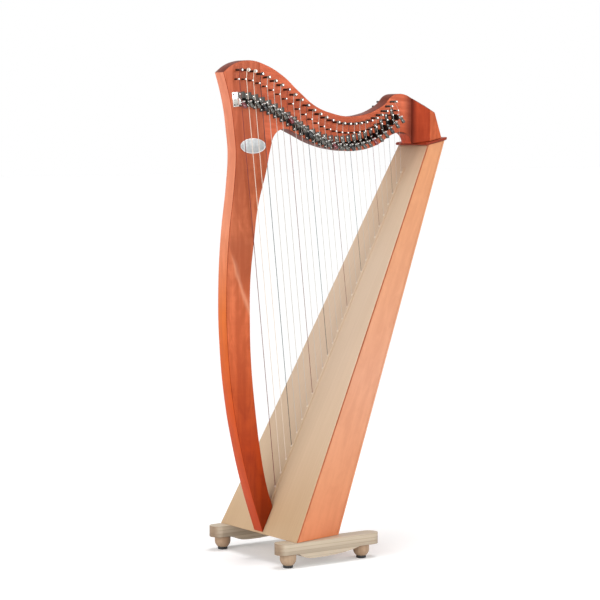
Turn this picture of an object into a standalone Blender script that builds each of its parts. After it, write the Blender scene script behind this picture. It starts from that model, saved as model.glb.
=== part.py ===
"""Lever harp: a curved column and a laminated neck on a tapered soundbox, twenty-seven taut
strings with a sharping lever each, and a base of two wooden rails on ball feet.

Metres, +Z up. The strings are on the -Y side of the neck, the column is at -X and the
soundbox at +X. The origin is on the floor, under the middle of the harp.
"""
import math

import bmesh
import bpy
from mathutils import Matrix, Vector

# Clearance between pieces that touch
GAP = 0.0003

# Place of the drawing's datum, the front foot edge of the soundboard
DATUM_X = -0.1999

# Base
PAD_HEIGHT = 0.0060
PAD_RADIUS = 0.0110
BALL_RADIUS = 0.0180
FOOT_HEIGHT = 0.0240
RAIL_END_HEIGHT = 0.0248
RAIL_BELLY = 0.0122
RAIL_WIDTH = 0.0400
RAIL_LENGTH = 0.2710
RAIL_SETBACK = 0.0405
RAIL_INSET = 0.0004
FOOT_FRONT_INSET = 0.0320
FOOT_BACK_INSET = 0.0416

# Soundbox
BOARD_LEAN = math.radians(26.73)
BOARD_LENGTH = 0.9594
BOARD_FOOT_WIDTH = 0.3020
BOARD_TOP_WIDTH = 0.1080
BOARD_THICK = 0.0045
BOX_FOOT_DEPTH = 0.1240
BOX_TOP_DEPTH = 0.0520
SIDE_SLOPE = 0.20
SIDE_THICK = 0.0080
BACK_THICK = 0.0050
TOP_RISE = math.radians(10.0)
TOP_BLOCK_HEIGHT = 0.0280
BOTTOM_BLOCK_HEIGHT = 0.0220
RIB_FOOT_WIDTH = 0.0280
RIB_TOP_WIDTH = 0.0160
RIB_THICK = 0.0060
STRIP_WIDTH = 0.0100
STRIP_THICK = 0.0028
STRIP_MARGIN = 0.0120
BRACE_WIDTH = 0.0140
BRACE_HEIGHT = 0.0120
BRACE_SHARE = 0.55
SOUND_HOLE_SHARES = (0.235, 0.445, 0.655, 0.850)
SOUND_HOLE_LENGTH = 0.1100
SOUND_HOLE_WIDTH = 0.0700
SOUND_HOLE_RATIO = 0.78

# Shoulder, between the soundbox and the neck
PLATE_THICK = 0.0070
PLATE_OVERHANG = 0.0040
PLATE_NOSE = 0.0020
PLATE_ROUND = 0.0028
CHEEK_ROUND = 0.0015
CHEEK_FRONT = 0.4125
CHEEK_FLARE = 0.0280
CHEEK_RUN = 0.0320
CHEEK_INSET = 0.0010
ROOF_SLOPE_X = 0.45
ROOF_SLOPE_Y = 0.44
SHOULDER_CREST = (0.4155, 0.9637)
SHOULDER_HEEL_INSET = 0.0123
SHOULDER_BACK_SLOPE = 0.42
SHOULDER_ROUND = 0.0080

# Neck and column
NECK_THICK = 0.0350
COLUMN_FOOT_START = 0.0045
COLUMN_FOOT_LENGTH = 0.0600
JOINT_TOP_X = -0.0055
JOINT_FOOT = (0.0130, 0.8030)
TOP_STEP = 0.0200
OUTLINE_STEPS = 4
COLUMN_STRINGS = 4

# Badge plate on the column, bare
BADGE_CENTRE = (-0.0230, 0.8581)
BADGE_LENGTH = 0.0655
BADGE_HEIGHT = 0.0332
BADGE_THICK = 0.0015

# Strings, counted from the longest
STRINGS = 27
FIRST_FOOT = 0.1105
LAST_FOOT_INSET = 0.0705
FOOT_PITCH_STEP = 0.000245
FIRST_TOP_X = -0.0666
TOP_PITCH = 0.0181
TOP_PITCH_STEP = 0.000118
THICK_STRING = 0.00075
THIN_STRING = 0.00030
STRING_STANDOFF = 0.0140
WINDING_BEYOND = 0.0055
OCTAVE = 7
RED_STEP = 0
BLACK_STEP = 3

# Holes for the strings, and what hangs out of them inside the box
STRING_HOLE_RADIUS = 0.0015
STRING_END_LENGTH = 0.0040

# Pins in the neck
TUNING_RADIUS = 0.0025
TUNING_BEYOND = 0.0055
TUNING_NECK = 0.0040
TUNING_SQUARE = 0.0042
TUNING_SQUARE_LENGTH = 0.0120
BRIDGE_DROP = 0.0200
BRIDGE_RADIUS = 0.0019
BRIDGE_GROOVE_RADIUS = 0.0014
BRIDGE_SPACE = 0.0006
BRIDGE_HEAD_RADIUS = 0.0021
BRIDGE_BEYOND = 0.0035
BRIDGE_DEPTH = 0.0095
PIN_CLEARANCE = 0.00035
PIN_SHIFT_BASS = -0.0010
PIN_SHIFT_TREBLE = 0.0126
PIN_SHIFT_POWER = 5

# Sharping levers, each in a frame along its string, with the fret at the origin
FRET_DROP_BASS = 0.0430
FRET_DROP_TREBLE = 0.0088
LEVER_PLATE_THICK = 0.0015
LEVER_PLATE_RIGHT = -0.0060
LEVER_PLATE_UP = 0.0160
LEVER_PLATE_DOWN = 0.0155
LEVER_PLATE_SPACE = 0.0004
EAR_THICK = 0.0018
EAR_UP = 0.0020
EAR_DOWN = 0.0115
EAR_BEYOND = 0.0060
EAR_ROOT = 0.0020
EAR_INSET = 0.0002
FRET_CLEARANCE = 0.0028
FRET_THICK = 0.0020
FRET_HEIGHT = 0.0020
FRET_END = 0.0030
PIVOT_BEYOND = 0.0032
PIVOT_DROP = 0.0065
PIVOT_RADIUS = 0.0011
PIVOT_END = 0.0042
LEVER_WIDTH = 0.0070
LEVER_BORE = 0.0015
LEVER_HUB_RADIUS = 0.0032
LEVER_LENGTH = 0.0160
LEVER_NECK = 0.0036
LEVER_TIP = 0.0056
LEVER_TILT = math.radians(35.0)
CAM_REACH = 0.0057
CAM_RADIUS = 0.0015
CAM_ANGLE = math.radians(108.9)

# Screws that hold the box to the rails
BASE_SCREW_RADIUS = 0.0022
BASE_SCREW_HEAD = 0.0045
BASE_SCREW_HEAD_HEIGHT = 0.0020
BASE_SCREW_GRIP = 0.0150
BASE_SCREW_PLACES = (0.0350, 0.0850)

# Facets round small and larger turned pieces, and steps along arcs
SIX = 6
EIGHT = 8
TWELVE = 12
SIXTEEN = 16
BALL_ARC_STEPS = 5
RAIL_ARC_STEPS = 8
LEVER_TIP_ANGLES = (60, 120)
LEVER_NECK_ANGLE = 75
LEVER_HUB_ANGLES = (160, 205, 250, 295, 335)

# Points nearer than this are one
WELD = 0.00001

# Places that follow from the sizes above
FOOT_SPAN_X = RAIL_LENGTH - FOOT_FRONT_INSET - FOOT_BACK_INSET
FOOT_SPAN_Y = BOARD_FOOT_WIDTH - RAIL_WIDTH - 2 * RAIL_INSET
WINDING_STANDOFF = STRING_STANDOFF + WINDING_BEYOND
TUNING_PROUD = WINDING_STANDOFF + TUNING_BEYOND
BRIDGE_PROUD = STRING_STANDOFF + BRIDGE_BEYOND
EAR_REACH = STRING_STANDOFF + EAR_BEYOND
FRET_REACH = STRING_STANDOFF - FRET_CLEARANCE
PIVOT_OUT = STRING_STANDOFF + PIVOT_BEYOND
RAIL_BOTTOM = PAD_HEIGHT + FOOT_HEIGHT + 2 * GAP
RAIL_TOP = RAIL_BOTTOM + RAIL_END_HEIGHT
SEAT_Z = RAIL_TOP + GAP
NECK_HALF = NECK_THICK / 2
UP_BOARD = Vector((math.sin(BOARD_LEAN), 0, math.cos(BOARD_LEAN)))
INTO_BOX = Vector((math.cos(BOARD_LEAN), 0, -math.sin(BOARD_LEAN)))
ACROSS = Vector((0, 1, 0))
FOOT_EDGE = Vector((DATUM_X, 0, SEAT_Z))

# Side view of the column, down the front from its nose and up the back to the neck,
# as x and height from the datum
COLUMN_NOSE = (-0.0990, 1.0170)
COLUMN_FRONT = (
    (-0.0870, 0.9780), (-0.0785, 0.9417), (-0.0712, 0.8900), (-0.0670, 0.8437),
    (-0.0722, 0.7680), (-0.0850, 0.6680), (-0.0923, 0.5350), (-0.0895, 0.4230),
    (-0.0772, 0.3050), (-0.0595, 0.2107), (-0.0312, 0.1017),
)
COLUMN_BACK = (
    (0.0141, 0.1017), (-0.0018, 0.1744), (-0.0176, 0.2823), (-0.0281, 0.3887),
    (-0.0308, 0.4837), (-0.0290, 0.5687), (-0.0210, 0.6387), (-0.0085, 0.7267),
)

# Side view of the neck, drawn for a soundboard that ends at this place: the top from the
# column's nose to the shoulder, and the underside from the shoulder back to the column
DRAWN_BOARD_TOP = (0.4315, 0.8569)
NECK_TOP = (
    (-0.0990, 1.0170), (-0.0811, 1.0303), (-0.0598, 1.0396), (-0.0285, 1.0437),
    (0.0081, 1.0356), (0.0562, 1.0119), (0.1006, 0.9769), (0.1455, 0.9452),
    (0.1915, 0.9292), (0.2365, 0.9227), (0.2895, 0.9292), (0.3165, 0.9390),
    (0.3395, 0.9520), (0.3585, 0.9695), (0.3765, 0.9740), (0.3965, 0.9720),
)
NECK_UNDER = (
    (0.4035, 0.8790), (0.3880, 0.8865), (0.3635, 0.8832), (0.3115, 0.8567),
    (0.2575, 0.8457), (0.2035, 0.8479), (0.1435, 0.8622), (0.0895, 0.8857),
    (0.0665, 0.8945), (0.0515, 0.8932), (0.0345, 0.8807), (0.0245, 0.8527),
)

# Line that the tuning pins follow across the neck
TUNING_LINE = (
    (-0.0695, 1.0225), (-0.0335, 1.0207), (0.0155, 1.0032), (0.0555, 0.9826),
    (0.0905, 0.9602), (0.1255, 0.9369), (0.1755, 0.9142), (0.2215, 0.9060),
    (0.2675, 0.9092), (0.2955, 0.9172), (0.3230, 0.9317), (0.3495, 0.9532),
)

# Underside of a rail between its feet, as shares of the way along the belly and of its depth
BELLY = ((0.09, 0.70), (0.26, 1.0), (0.51, 0.94), (0.82, 0.53))
BELLY_START = 0.0490
BELLY_END_INSET = 0.0590


def clear_scene():
    for item in list(bpy.data.objects):
        bpy.data.objects.remove(item, do_unlink=True)
    for group in list(bpy.data.collections):
        bpy.data.collections.remove(group)


def new_collection(name):
    group = bpy.data.collections.new(name)
    bpy.context.scene.collection.children.link(group)
    return group


def material(name, colour, roughness, metallic=0.0):
    found = bpy.data.materials.get(name)
    if found:
        return found
    made = bpy.data.materials.new(name)
    made.use_nodes = True
    shader = made.node_tree.nodes["Principled BSDF"]
    shader.inputs["Base Color"].default_value = (*colour, 1.0)
    shader.inputs["Roughness"].default_value = roughness
    shader.inputs["Metallic"].default_value = metallic
    return made


def stained_wood():
    return material("stained_wood", (0.46, 0.10, 0.03), 0.40)


def box_wood():
    return material("box_wood", (0.62, 0.20, 0.06), 0.42)


def spruce():
    return material("spruce", (0.62, 0.47, 0.32), 0.50)


def beech():
    return material("beech", (0.58, 0.46, 0.34), 0.50)


def plate_wood():
    return material("plate_wood", (0.24, 0.03, 0.02), 0.35)


def nickel():
    return material("nickel", (0.72, 0.71, 0.68), 0.28, 1.0)


def rubber():
    return material("rubber", (0.02, 0.02, 0.02), 0.70)


def lever_colour(number):
    if number % OCTAVE == RED_STEP:
        return material("lever_red", (0.30, 0.02, 0.03), 0.35)
    if number % OCTAVE == BLACK_STEP:
        return material("lever_black", (0.02, 0.02, 0.02), 0.35)
    return material("lever_grey", (0.36, 0.34, 0.30), 0.35)


def add_object(name, mesh, look, group):
    mesh.materials.clear()
    mesh.materials.append(look)
    item = bpy.data.objects.new(name, mesh)
    group.objects.link(item)
    return item


def mesh_from(bm, name):
    """Closed mesh with its faces pointing out."""
    bmesh.ops.recalc_face_normals(bm, faces=bm.faces)
    mesh = bpy.data.meshes.new(name)
    bm.to_mesh(mesh)
    bm.free()
    return mesh


def place(x, height):
    """World point in the middle plane, from a place on the side view."""
    return Vector((DATUM_X + x, 0, SEAT_Z + height))


def side_point(point):
    """A world point as it lies on the side view."""
    return point.x - DATUM_X, point.z - SEAT_Z


def reached(x, height):
    """A place on the neck's drawing, moved with the soundboard's top: not at all at the
    column, and all the way at the shoulder."""
    top = side_point(on_board(BOARD_LENGTH))
    share = min(max((x - JOINT_FOOT[0]) / (CHEEK_FRONT - JOINT_FOOT[0]), 0), 1)
    return (x + share * (top[0] - DRAWN_BOARD_TOP[0]),
            height + share * (top[1] - DRAWN_BOARD_TOP[1]))


def reached_line(line):
    return [reached(x, height) for x, height in line]


def on_board(along, depth=0.0, across=0.0):
    """World point from a distance up the soundboard's front face, a depth behind it and a
    distance across."""
    return FOOT_EDGE + UP_BOARD * along + INTO_BOX * depth + ACROSS * across


def plane_through(a, b, c):
    normal = (b - a).cross(c - a).normalized()
    return a, normal


def crossing(first, second, third):
    """Point where three planes meet."""
    planes = (first, second, third)
    rows = Matrix([normal for point, normal in planes])
    sides = Vector([normal.dot(point) for point, normal in planes])
    return rows.inverted() @ sides


def board_plane(depth):
    return on_board(0, depth), INTO_BOX


def side_plane(hand, inset=0.0):
    """Outer face of one side of the box, or a plane that far inside it."""
    foot = BOARD_FOOT_WIDTH / 2
    top = BOARD_TOP_WIDTH / 2
    a = on_board(0, 0, hand * foot)
    b = on_board(BOARD_LENGTH, 0, hand * top)
    c = on_board(0, 1, hand * (foot - SIDE_SLOPE))
    point, normal = plane_through(a, b, c)
    if normal.y * hand < 0:
        normal = -normal
    return point - normal * inset, normal


def back_plane(inset=0.0):
    a = on_board(0, BOX_FOOT_DEPTH)
    b = on_board(BOARD_LENGTH, BOX_TOP_DEPTH)
    point, normal = plane_through(a, b, a + ACROSS)
    if normal.x < 0:
        normal = -normal
    return point - normal * inset, normal


def seat_plane(height=0.0):
    return Vector((0, 0, SEAT_Z + height)), Vector((0, 0, 1))


def top_plane(height=0.0):
    normal = Vector((-math.sin(TOP_RISE), 0, math.cos(TOP_RISE)))
    return on_board(BOARD_LENGTH) + normal * height, normal


def cross_plane(along):
    """Plane square to the soundboard, at a share of its length."""
    return on_board(along * BOARD_LENGTH), UP_BOARD


def middle_plane(across):
    return ACROSS * across, ACROSS


def six_sided(name, x_planes, y_planes, z_planes):
    """Cube whose corners are moved to where its six planes meet."""
    bm = bmesh.new()
    bmesh.ops.create_cube(bm, size=2.0)
    for vert in bm.verts:
        x_side = x_planes[vert.co.x > 0]
        y_side = y_planes[vert.co.y > 0]
        z_side = z_planes[vert.co.z > 0]
        vert.co = crossing(x_side, y_side, z_side)
    return mesh_from(bm, name)


def round_edges(item, width, segments=2):
    rounding = item.modifiers.new("rounded edges", "BEVEL")
    rounding.width = width
    rounding.segments = segments
    rounding.limit_method = "ANGLE"
    rounding.angle_limit = math.radians(40)


def cylinder(radius, length, sides, centre=Vector(), axis=Vector((0, 0, 1))):
    """Closed cylinder about its centre. A facet's middle lies on the frame's X axis."""
    bm = bmesh.new()
    bmesh.ops.create_cone(bm, cap_ends=True, segments=sides, radius1=radius, radius2=radius,
                          depth=length)
    turn = Vector((0, 0, 1)).rotation_difference(axis).to_matrix().to_4x4()
    bmesh.ops.transform(bm, matrix=Matrix.Translation(centre) @ turn, verts=bm.verts)
    return mesh_from(bm, "cylinder")


def box(low, high):
    bm = bmesh.new()
    bmesh.ops.create_cube(bm, size=1.0)
    size = Vector(high) - Vector(low)
    middle = (Vector(high) + Vector(low)) / 2
    bmesh.ops.transform(bm, matrix=Matrix.Translation(middle) @ Matrix.Diagonal((*size, 1)),
                        verts=bm.verts)
    return mesh_from(bm, "box")


def evaluated_mesh(item, name):
    """Mesh of an object as its modifiers or its curve make it, welded, in world space."""
    bpy.context.view_layer.update()
    graph = bpy.context.evaluated_depsgraph_get()
    mesh = bpy.data.meshes.new_from_object(item.evaluated_get(graph))
    mesh.name = name
    bm = bmesh.new()
    bm.from_mesh(mesh)
    bmesh.ops.transform(bm, matrix=item.matrix_world, verts=bm.verts)
    bmesh.ops.remove_doubles(bm, verts=bm.verts, dist=WELD)
    bmesh.ops.recalc_face_normals(bm, faces=bm.faces)
    bm.to_mesh(mesh)
    bm.free()
    bpy.data.objects.remove(item, do_unlink=True)
    return mesh


def outline_solid(name, loops, half, turn):
    """Flat outline, filled and extruded both ways. A loop lists x, y and whether the
    outline turns a corner there; other points are joined by a smooth curve."""
    curve = bpy.data.curves.new(name, "CURVE")
    curve.dimensions = "2D"
    curve.fill_mode = "BOTH"
    curve.extrude = half
    curve.resolution_u = OUTLINE_STEPS
    for loop in loops:
        spline = curve.splines.new("BEZIER")
        spline.bezier_points.add(len(loop) - 1)
        spline.use_cyclic_u = True
        for point, (x, y, corner) in zip(spline.bezier_points, loop):
            point.co = (x, y, 0)
            kind = "VECTOR" if corner else "AUTO"
            point.handle_left_type = kind
            point.handle_right_type = kind
    item = bpy.data.objects.new(name, curve)
    bpy.context.scene.collection.objects.link(item)
    item.matrix_world = turn
    return evaluated_mesh(item, name)


def upright():
    """Turns a flat outline into a side view: its y becomes height."""
    return Matrix.Rotation(math.radians(90), 4, "X")


def joined(meshes_and_places, name):
    """One mesh that holds a copy of each mesh at its place."""
    bm = bmesh.new()
    for mesh, where in meshes_and_places:
        before = len(bm.verts)
        bm.from_mesh(mesh)
        bm.verts.ensure_lookup_table()
        bmesh.ops.transform(bm, matrix=where, verts=bm.verts[before:])
    return mesh_from(bm, name)


def combine(target_mesh, tool_mesh, operation, name):
    """Boolean of two meshes, applied."""
    target = bpy.data.objects.new(name, target_mesh)
    tool = bpy.data.objects.new(name + "_tool", tool_mesh)
    for item in (target, tool):
        bpy.context.scene.collection.objects.link(item)
    change = target.modifiers.new(operation.lower(), "BOOLEAN")
    change.operation = operation
    change.object = tool
    result = evaluated_mesh(target, name)
    bpy.data.objects.remove(tool, do_unlink=True)
    return result


def cut_with(item, tool_mesh, cutters):
    """Boolean cut that stays on the object, with its cutter kept apart."""
    tool = bpy.data.objects.new(item.name + "_cutter", tool_mesh)
    cutters.objects.link(tool)
    tool.hide_render = True
    tool.display_type = "WIRE"
    change = item.modifiers.new("holes", "BOOLEAN")
    change.operation = "DIFFERENCE"
    change.object = tool


def turned(name, profile, steps):
    """Profile of radius and height, from the top down, turned about Z."""
    mesh = bpy.data.meshes.new(name)
    points = [(radius, 0, height) for radius, height in profile]
    edges = [(i, i + 1) for i in range(len(points) - 1)]
    mesh.from_pydata(points, edges, [])
    item = bpy.data.objects.new(name, mesh)
    bpy.context.scene.collection.objects.link(item)
    screw = item.modifiers.new("turning", "SCREW")
    screw.steps = steps
    screw.render_steps = steps
    screw.use_merge_vertices = True
    screw.merge_threshold = WELD
    return evaluated_mesh(item, name)


# Strings and the places that follow from them

def share(number):
    return number / (STRINGS - 1)


def mix(first, last, number):
    return first + (last - first) * share(number)


def series(first, pitch, step, number):
    """Place of a string in a row whose pitch shrinks by one step from string to string."""
    return first + pitch * number - step * number * (number - 1) / 2


def smooth_height(line, x):
    """Height at x on a smooth curve through the points of a line."""
    spot = 0
    while spot < len(line) - 2 and x > line[spot + 1][0]:
        spot += 1
    before = line[max(spot - 1, 0)]
    start = line[spot]
    end = line[spot + 1]
    after = line[min(spot + 2, len(line) - 1)]
    run = end[0] - start[0]
    slope_in = (end[1] - before[1]) / (end[0] - before[0]) * run
    slope_out = (after[1] - start[1]) / (after[0] - start[0]) * run
    t = (x - start[0]) / run
    ease = t * t * (3 - 2 * t)
    return (start[1] + (end[1] - start[1]) * ease + slope_in * t * (1 - t) ** 2
            - slope_out * t * t * (1 - t))


def string_radius(number):
    return mix(THICK_STRING, THIN_STRING, number)


def foot_along(number):
    """Distance of a string's foot up the soundboard; the row runs to near the board's top."""
    last = STRINGS - 1
    run = BOARD_LENGTH - LAST_FOOT_INSET - FIRST_FOOT
    pitch = (run + FOOT_PITCH_STEP * last * (last - 1) / 2) / last
    return series(FIRST_FOOT, pitch, FOOT_PITCH_STEP, number)


def string_bend(number):
    """Where the string leaves the strip on the soundboard and turns towards the neck."""
    return on_board(foot_along(number), -GAP - STRIP_THICK)


def string_x(number):
    """Distance of the string from the datum at its bridge pin."""
    return reached(series(FIRST_TOP_X, TOP_PITCH, TOP_PITCH_STEP, number), 0)[0]


def string_top(number):
    """Where the string passes its bridge pin."""
    x = string_x(number)
    height = smooth_height(reached_line(TUNING_LINE), x - pin_shift(number)) - BRIDGE_DROP
    return place(x, height) - ACROSS * (NECK_HALF + STRING_STANDOFF)


def string_lean(number):
    run = string_bend(number) - string_top(number)
    return math.atan2(run.x, -run.z)


def bridge_centre(number):
    """Bridge pin's axis on the near face of the neck; the string passes on its +X side."""
    offset = BRIDGE_GROOVE_RADIUS + string_radius(number) + BRIDGE_SPACE
    top = string_top(number)
    return Vector((top.x - offset * math.cos(string_lean(number)), -NECK_HALF, top.z))


def pin_shift(number):
    """How far the tuning pin stands towards the column from the string's bridge pin."""
    return PIN_SHIFT_BASS + (PIN_SHIFT_TREBLE - PIN_SHIFT_BASS) * share(number) ** PIN_SHIFT_POWER


def tuning_centre(number):
    """Tuning pin's axis on the near face of the neck; the string leaves on its -X side."""
    top = string_top(number)
    return Vector((top.x - pin_shift(number), -NECK_HALF, top.z + BRIDGE_DROP))


def string_end(number):
    """Where the string meets the side of its tuning pin."""
    pin = tuning_centre(number)
    run = pin - string_top(number)
    aside = Vector((-run.z, 0, run.x)).normalized()
    end = pin + aside * (TUNING_RADIUS + string_radius(number) + GAP)
    return Vector((end.x, -NECK_HALF - WINDING_STANDOFF, end.z))


def lever_frame(number):
    """Frame on the neck's near face at the fret, with Z along the string."""
    top = string_top(number)
    lean = string_lean(number)
    drop = mix(FRET_DROP_BASS, FRET_DROP_TREBLE, number)
    fret = Vector((top.x + drop * math.tan(lean), -NECK_HALF, top.z - drop))
    return Matrix.Translation(fret) @ Matrix.Rotation(-lean, 4, "Y")


def top_pitch(number):
    """Room between a string and the next one, square to the strings."""
    return (string_x(number + 1) - string_x(number)) * math.cos(string_lean(number))


# Base

def rail_start():
    return DATUM_X - RAIL_SETBACK


def foot_places():
    """Name and plan place of each foot."""
    front = rail_start() + FOOT_FRONT_INSET
    places = []
    for end, x in (("front", front), ("back", front + FOOT_SPAN_X)):
        for side, y in (("near", -FOOT_SPAN_Y / 2), ("far", FOOT_SPAN_Y / 2)):
            places.append((end + "_" + side, x, y))
    return places


def build_pads(parts):
    mesh = cylinder(PAD_RADIUS, PAD_HEIGHT, SIXTEEN)
    for place_name, x, y in foot_places():
        item = add_object("rubber_pad_" + place_name, mesh, rubber(), parts)
        item.location = (x, y, PAD_HEIGHT / 2)


def build_ball_feet(parts):
    low = PAD_HEIGHT + GAP
    centre = low + math.sqrt(BALL_RADIUS ** 2 - (PAD_RADIUS + GAP) ** 2)
    first = math.acos((low + FOOT_HEIGHT - centre) / BALL_RADIUS)
    last = math.acos((low - centre) / BALL_RADIUS)
    arc = [first + (last - first) * i / BALL_ARC_STEPS for i in range(BALL_ARC_STEPS + 1)]
    rim = [(BALL_RADIUS * math.sin(a), centre + BALL_RADIUS * math.cos(a)) for a in arc]
    profile = [(0, rim[0][1])] + rim + [(0, rim[-1][1])]
    mesh = turned("ball_foot", profile, TWELVE)
    mesh.shade_smooth()
    mesh.set_sharp_from_angle(angle=math.radians(40))
    for place_name, x, y in foot_places():
        item = add_object("ball_foot_" + place_name, mesh, beech(), parts)
        item.location = (x, y, 0)


def rail_plan():
    """Plan of a rail: straight sides and round ends, drawn as arcs."""
    radius = RAIL_WIDTH / 2
    points = []
    for centre, start in ((RAIL_LENGTH - radius, -90), (radius, 90)):
        for i in range(RAIL_ARC_STEPS + 1):
            angle = math.radians(start + 180 * i / RAIL_ARC_STEPS)
            points.append((centre + radius * math.cos(angle), radius * math.sin(angle), True))
    return points


def belly_cutter():
    """Waste under a rail: flat over the feet, with the belly's curve between them."""
    run = RAIL_LENGTH - BELLY_START - BELLY_END_INSET
    loop = [(-RAIL_WIDTH, 0, True), (BELLY_START, 0, True)]
    loop += [(BELLY_START + along * run, -deep * RAIL_BELLY, False) for along, deep in BELLY]
    loop += [(BELLY_START + run, 0, True), (RAIL_LENGTH + RAIL_WIDTH, 0, True)]
    loop += [(RAIL_LENGTH + RAIL_WIDTH, -2 * RAIL_BELLY, True)]
    loop += [(-RAIL_WIDTH, -2 * RAIL_BELLY, True)]
    return outline_solid("belly", [loop], RAIL_WIDTH, upright())


def base_screw_places():
    """Name and plan place of each screw, midway between the rail's inner edge and the
    inside of the box."""
    rail_edge = FOOT_SPAN_Y / 2 - RAIL_WIDTH / 2
    places = []
    for end, offset in zip(("front", "back"), BASE_SCREW_PLACES):
        x = DATUM_X + offset
        box_edge = crossing((Vector((x, 0, 0)), Vector((1, 0, 0))),
                            side_plane(1, SIDE_THICK + GAP), seat_plane()).y
        for side, hand in (("near", -1), ("far", 1)):
            places.append((end + "_" + side, x, hand * (rail_edge + box_edge) / 2))
    return places


def screw_recess_z():
    return RAIL_BOTTOM + BASE_SCREW_HEAD_HEIGHT + GAP


def build_rails(parts, cutters):
    height = RAIL_END_HEIGHT + RAIL_BELLY
    lift = Matrix.Translation((0, 0, height / 2 - RAIL_BELLY))
    plan = outline_solid("rail_plan", [rail_plan()], height / 2, lift)
    rail = combine(plan, belly_cutter(), "DIFFERENCE", "rail")
    for name, hand in (("base_rail_near", -1), ("base_rail_far", 1)):
        where = Matrix.Translation((rail_start(), hand * FOOT_SPAN_Y / 2, RAIL_BOTTOM))
        item = add_object(name, joined([(rail, where)], name), beech(), parts)
        tools = []
        for place_name, x, y in base_screw_places():
            if y * hand < 0:
                continue
            middle = (RAIL_BOTTOM + RAIL_TOP) / 2
            bore = cylinder(BASE_SCREW_RADIUS + PIN_CLEARANCE, 2 * height, EIGHT,
                            Vector((x, y, middle)))
            recess_top = screw_recess_z()
            recess = cylinder(BASE_SCREW_HEAD + PIN_CLEARANCE, height, EIGHT,
                              Vector((x, y, recess_top - height / 2)))
            tools.append((combine(bore, recess, "UNION", "screw_room"), Matrix()))
        cut_with(item, joined(tools, name + "_holes"), cutters)


def build_base_screws(parts):
    """Round-headed screws from under the rails into the bottom block."""
    head_top = screw_recess_z() - GAP
    head_low = head_top - BASE_SCREW_HEAD_HEIGHT
    tip = SEAT_Z + BASE_SCREW_GRIP
    profile = [(0, tip), (BASE_SCREW_RADIUS, tip - BASE_SCREW_RADIUS),
               (BASE_SCREW_RADIUS, head_top), (BASE_SCREW_HEAD, head_top),
               (BASE_SCREW_HEAD, head_low), (0, head_low)]
    mesh = turned("base_screw", profile, EIGHT)
    for place_name, x, y in base_screw_places():
        item = add_object("base_screw_" + place_name, mesh, nickel(), parts)
        item.location = (x, y, 0)


# Soundbox

def string_hole_tools(first_depth, last_depth):
    """Six-sided bores square to the soundboard, one for each string."""
    tools = []
    for number in range(STRINGS):
        centre = on_board(foot_along(number), (first_depth + last_depth) / 2)
        bore = cylinder(STRING_HOLE_RADIUS, last_depth - first_depth, SIX, centre, INTO_BOX)
        tools.append((bore, Matrix()))
    return joined(tools, "string_holes")


def build_soundboard(parts, cutters):
    mesh = six_sided("soundboard", (board_plane(0), board_plane(BOARD_THICK)),
                     (side_plane(-1), side_plane(1)), (seat_plane(), top_plane()))
    item = add_object("soundboard", mesh, spruce(), parts)
    cut_with(item, string_hole_tools(-BOARD_THICK, 2 * BOARD_THICK), cutters)


def rib_edge(hand, foot_width, top_width):
    foot = foot_width / 2
    top = top_width / 2
    return plane_through(on_board(0, 0, hand * foot), on_board(BOARD_LENGTH, 0, hand * top),
                         on_board(0, 1, hand * foot))


def build_string_rib(parts, cutters):
    front = BOARD_THICK + GAP
    back = front + RIB_THICK
    ends = (seat_plane(BOTTOM_BLOCK_HEIGHT + GAP), top_plane(-TOP_BLOCK_HEIGHT - GAP))
    mesh = six_sided("string_rib", (board_plane(front), board_plane(back)),
                     tuple(rib_edge(h, RIB_FOOT_WIDTH, RIB_TOP_WIDTH) for h in (-1, 1)), ends)
    item = add_object("string_rib", mesh, beech(), parts)
    cut_with(item, string_hole_tools(0, back + RIB_THICK), cutters)


def build_sides(parts):
    for name, hand in (("soundbox_side_near", -1), ("soundbox_side_far", 1)):
        faces = (side_plane(hand, SIDE_THICK), side_plane(hand))
        if hand < 0:
            faces = faces[::-1]
        mesh = six_sided(name, (board_plane(BOARD_THICK + GAP), back_plane(BACK_THICK + GAP)),
                         faces, (seat_plane(), top_plane()))
        add_object(name, mesh, box_wood(), parts)


def back_point(along, across):
    """Point on the back panel's outer face, at a share of the board's length."""
    depth = BOX_FOOT_DEPTH + (BOX_TOP_DEPTH - BOX_FOOT_DEPTH) * along
    return on_board(along * BOARD_LENGTH, depth, across)


def oval(length, width):
    """Smooth loop of eight points."""
    return [(length / 2 * math.cos(a), width / 2 * math.sin(a), False)
            for a in (2 * math.pi * i / EIGHT for i in range(EIGHT))]


def sound_hole_tool(number):
    """Oval cutter square to the back panel. The ovals get smaller towards the top."""
    along = SOUND_HOLE_SHARES[number]
    scale = SOUND_HOLE_RATIO ** number
    loop = oval(SOUND_HOLE_LENGTH * scale, SOUND_HOLE_WIDTH * scale)
    point, normal = back_plane()
    up = (back_point(1, 0) - back_point(0, 0)).normalized()
    turn = Matrix((up, normal.cross(up), normal)).transposed().to_4x4()
    where = Matrix.Translation(back_point(along, 0)) @ turn
    return outline_solid("sound_hole", [loop], 3 * BACK_THICK, where)


def build_back(parts, cutters):
    mesh = six_sided("soundbox_back", (back_plane(BACK_THICK), back_plane()),
                     (side_plane(-1), side_plane(1)), (seat_plane(), top_plane()))
    item = add_object("soundbox_back", mesh, box_wood(), parts)
    tools = [(sound_hole_tool(i), Matrix()) for i in range(len(SOUND_HOLE_SHARES))]
    cut_with(item, joined(tools, "sound_holes"), cutters)


def inner_faces():
    return (side_plane(-1, SIDE_THICK + GAP), side_plane(1, SIDE_THICK + GAP))


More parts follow.
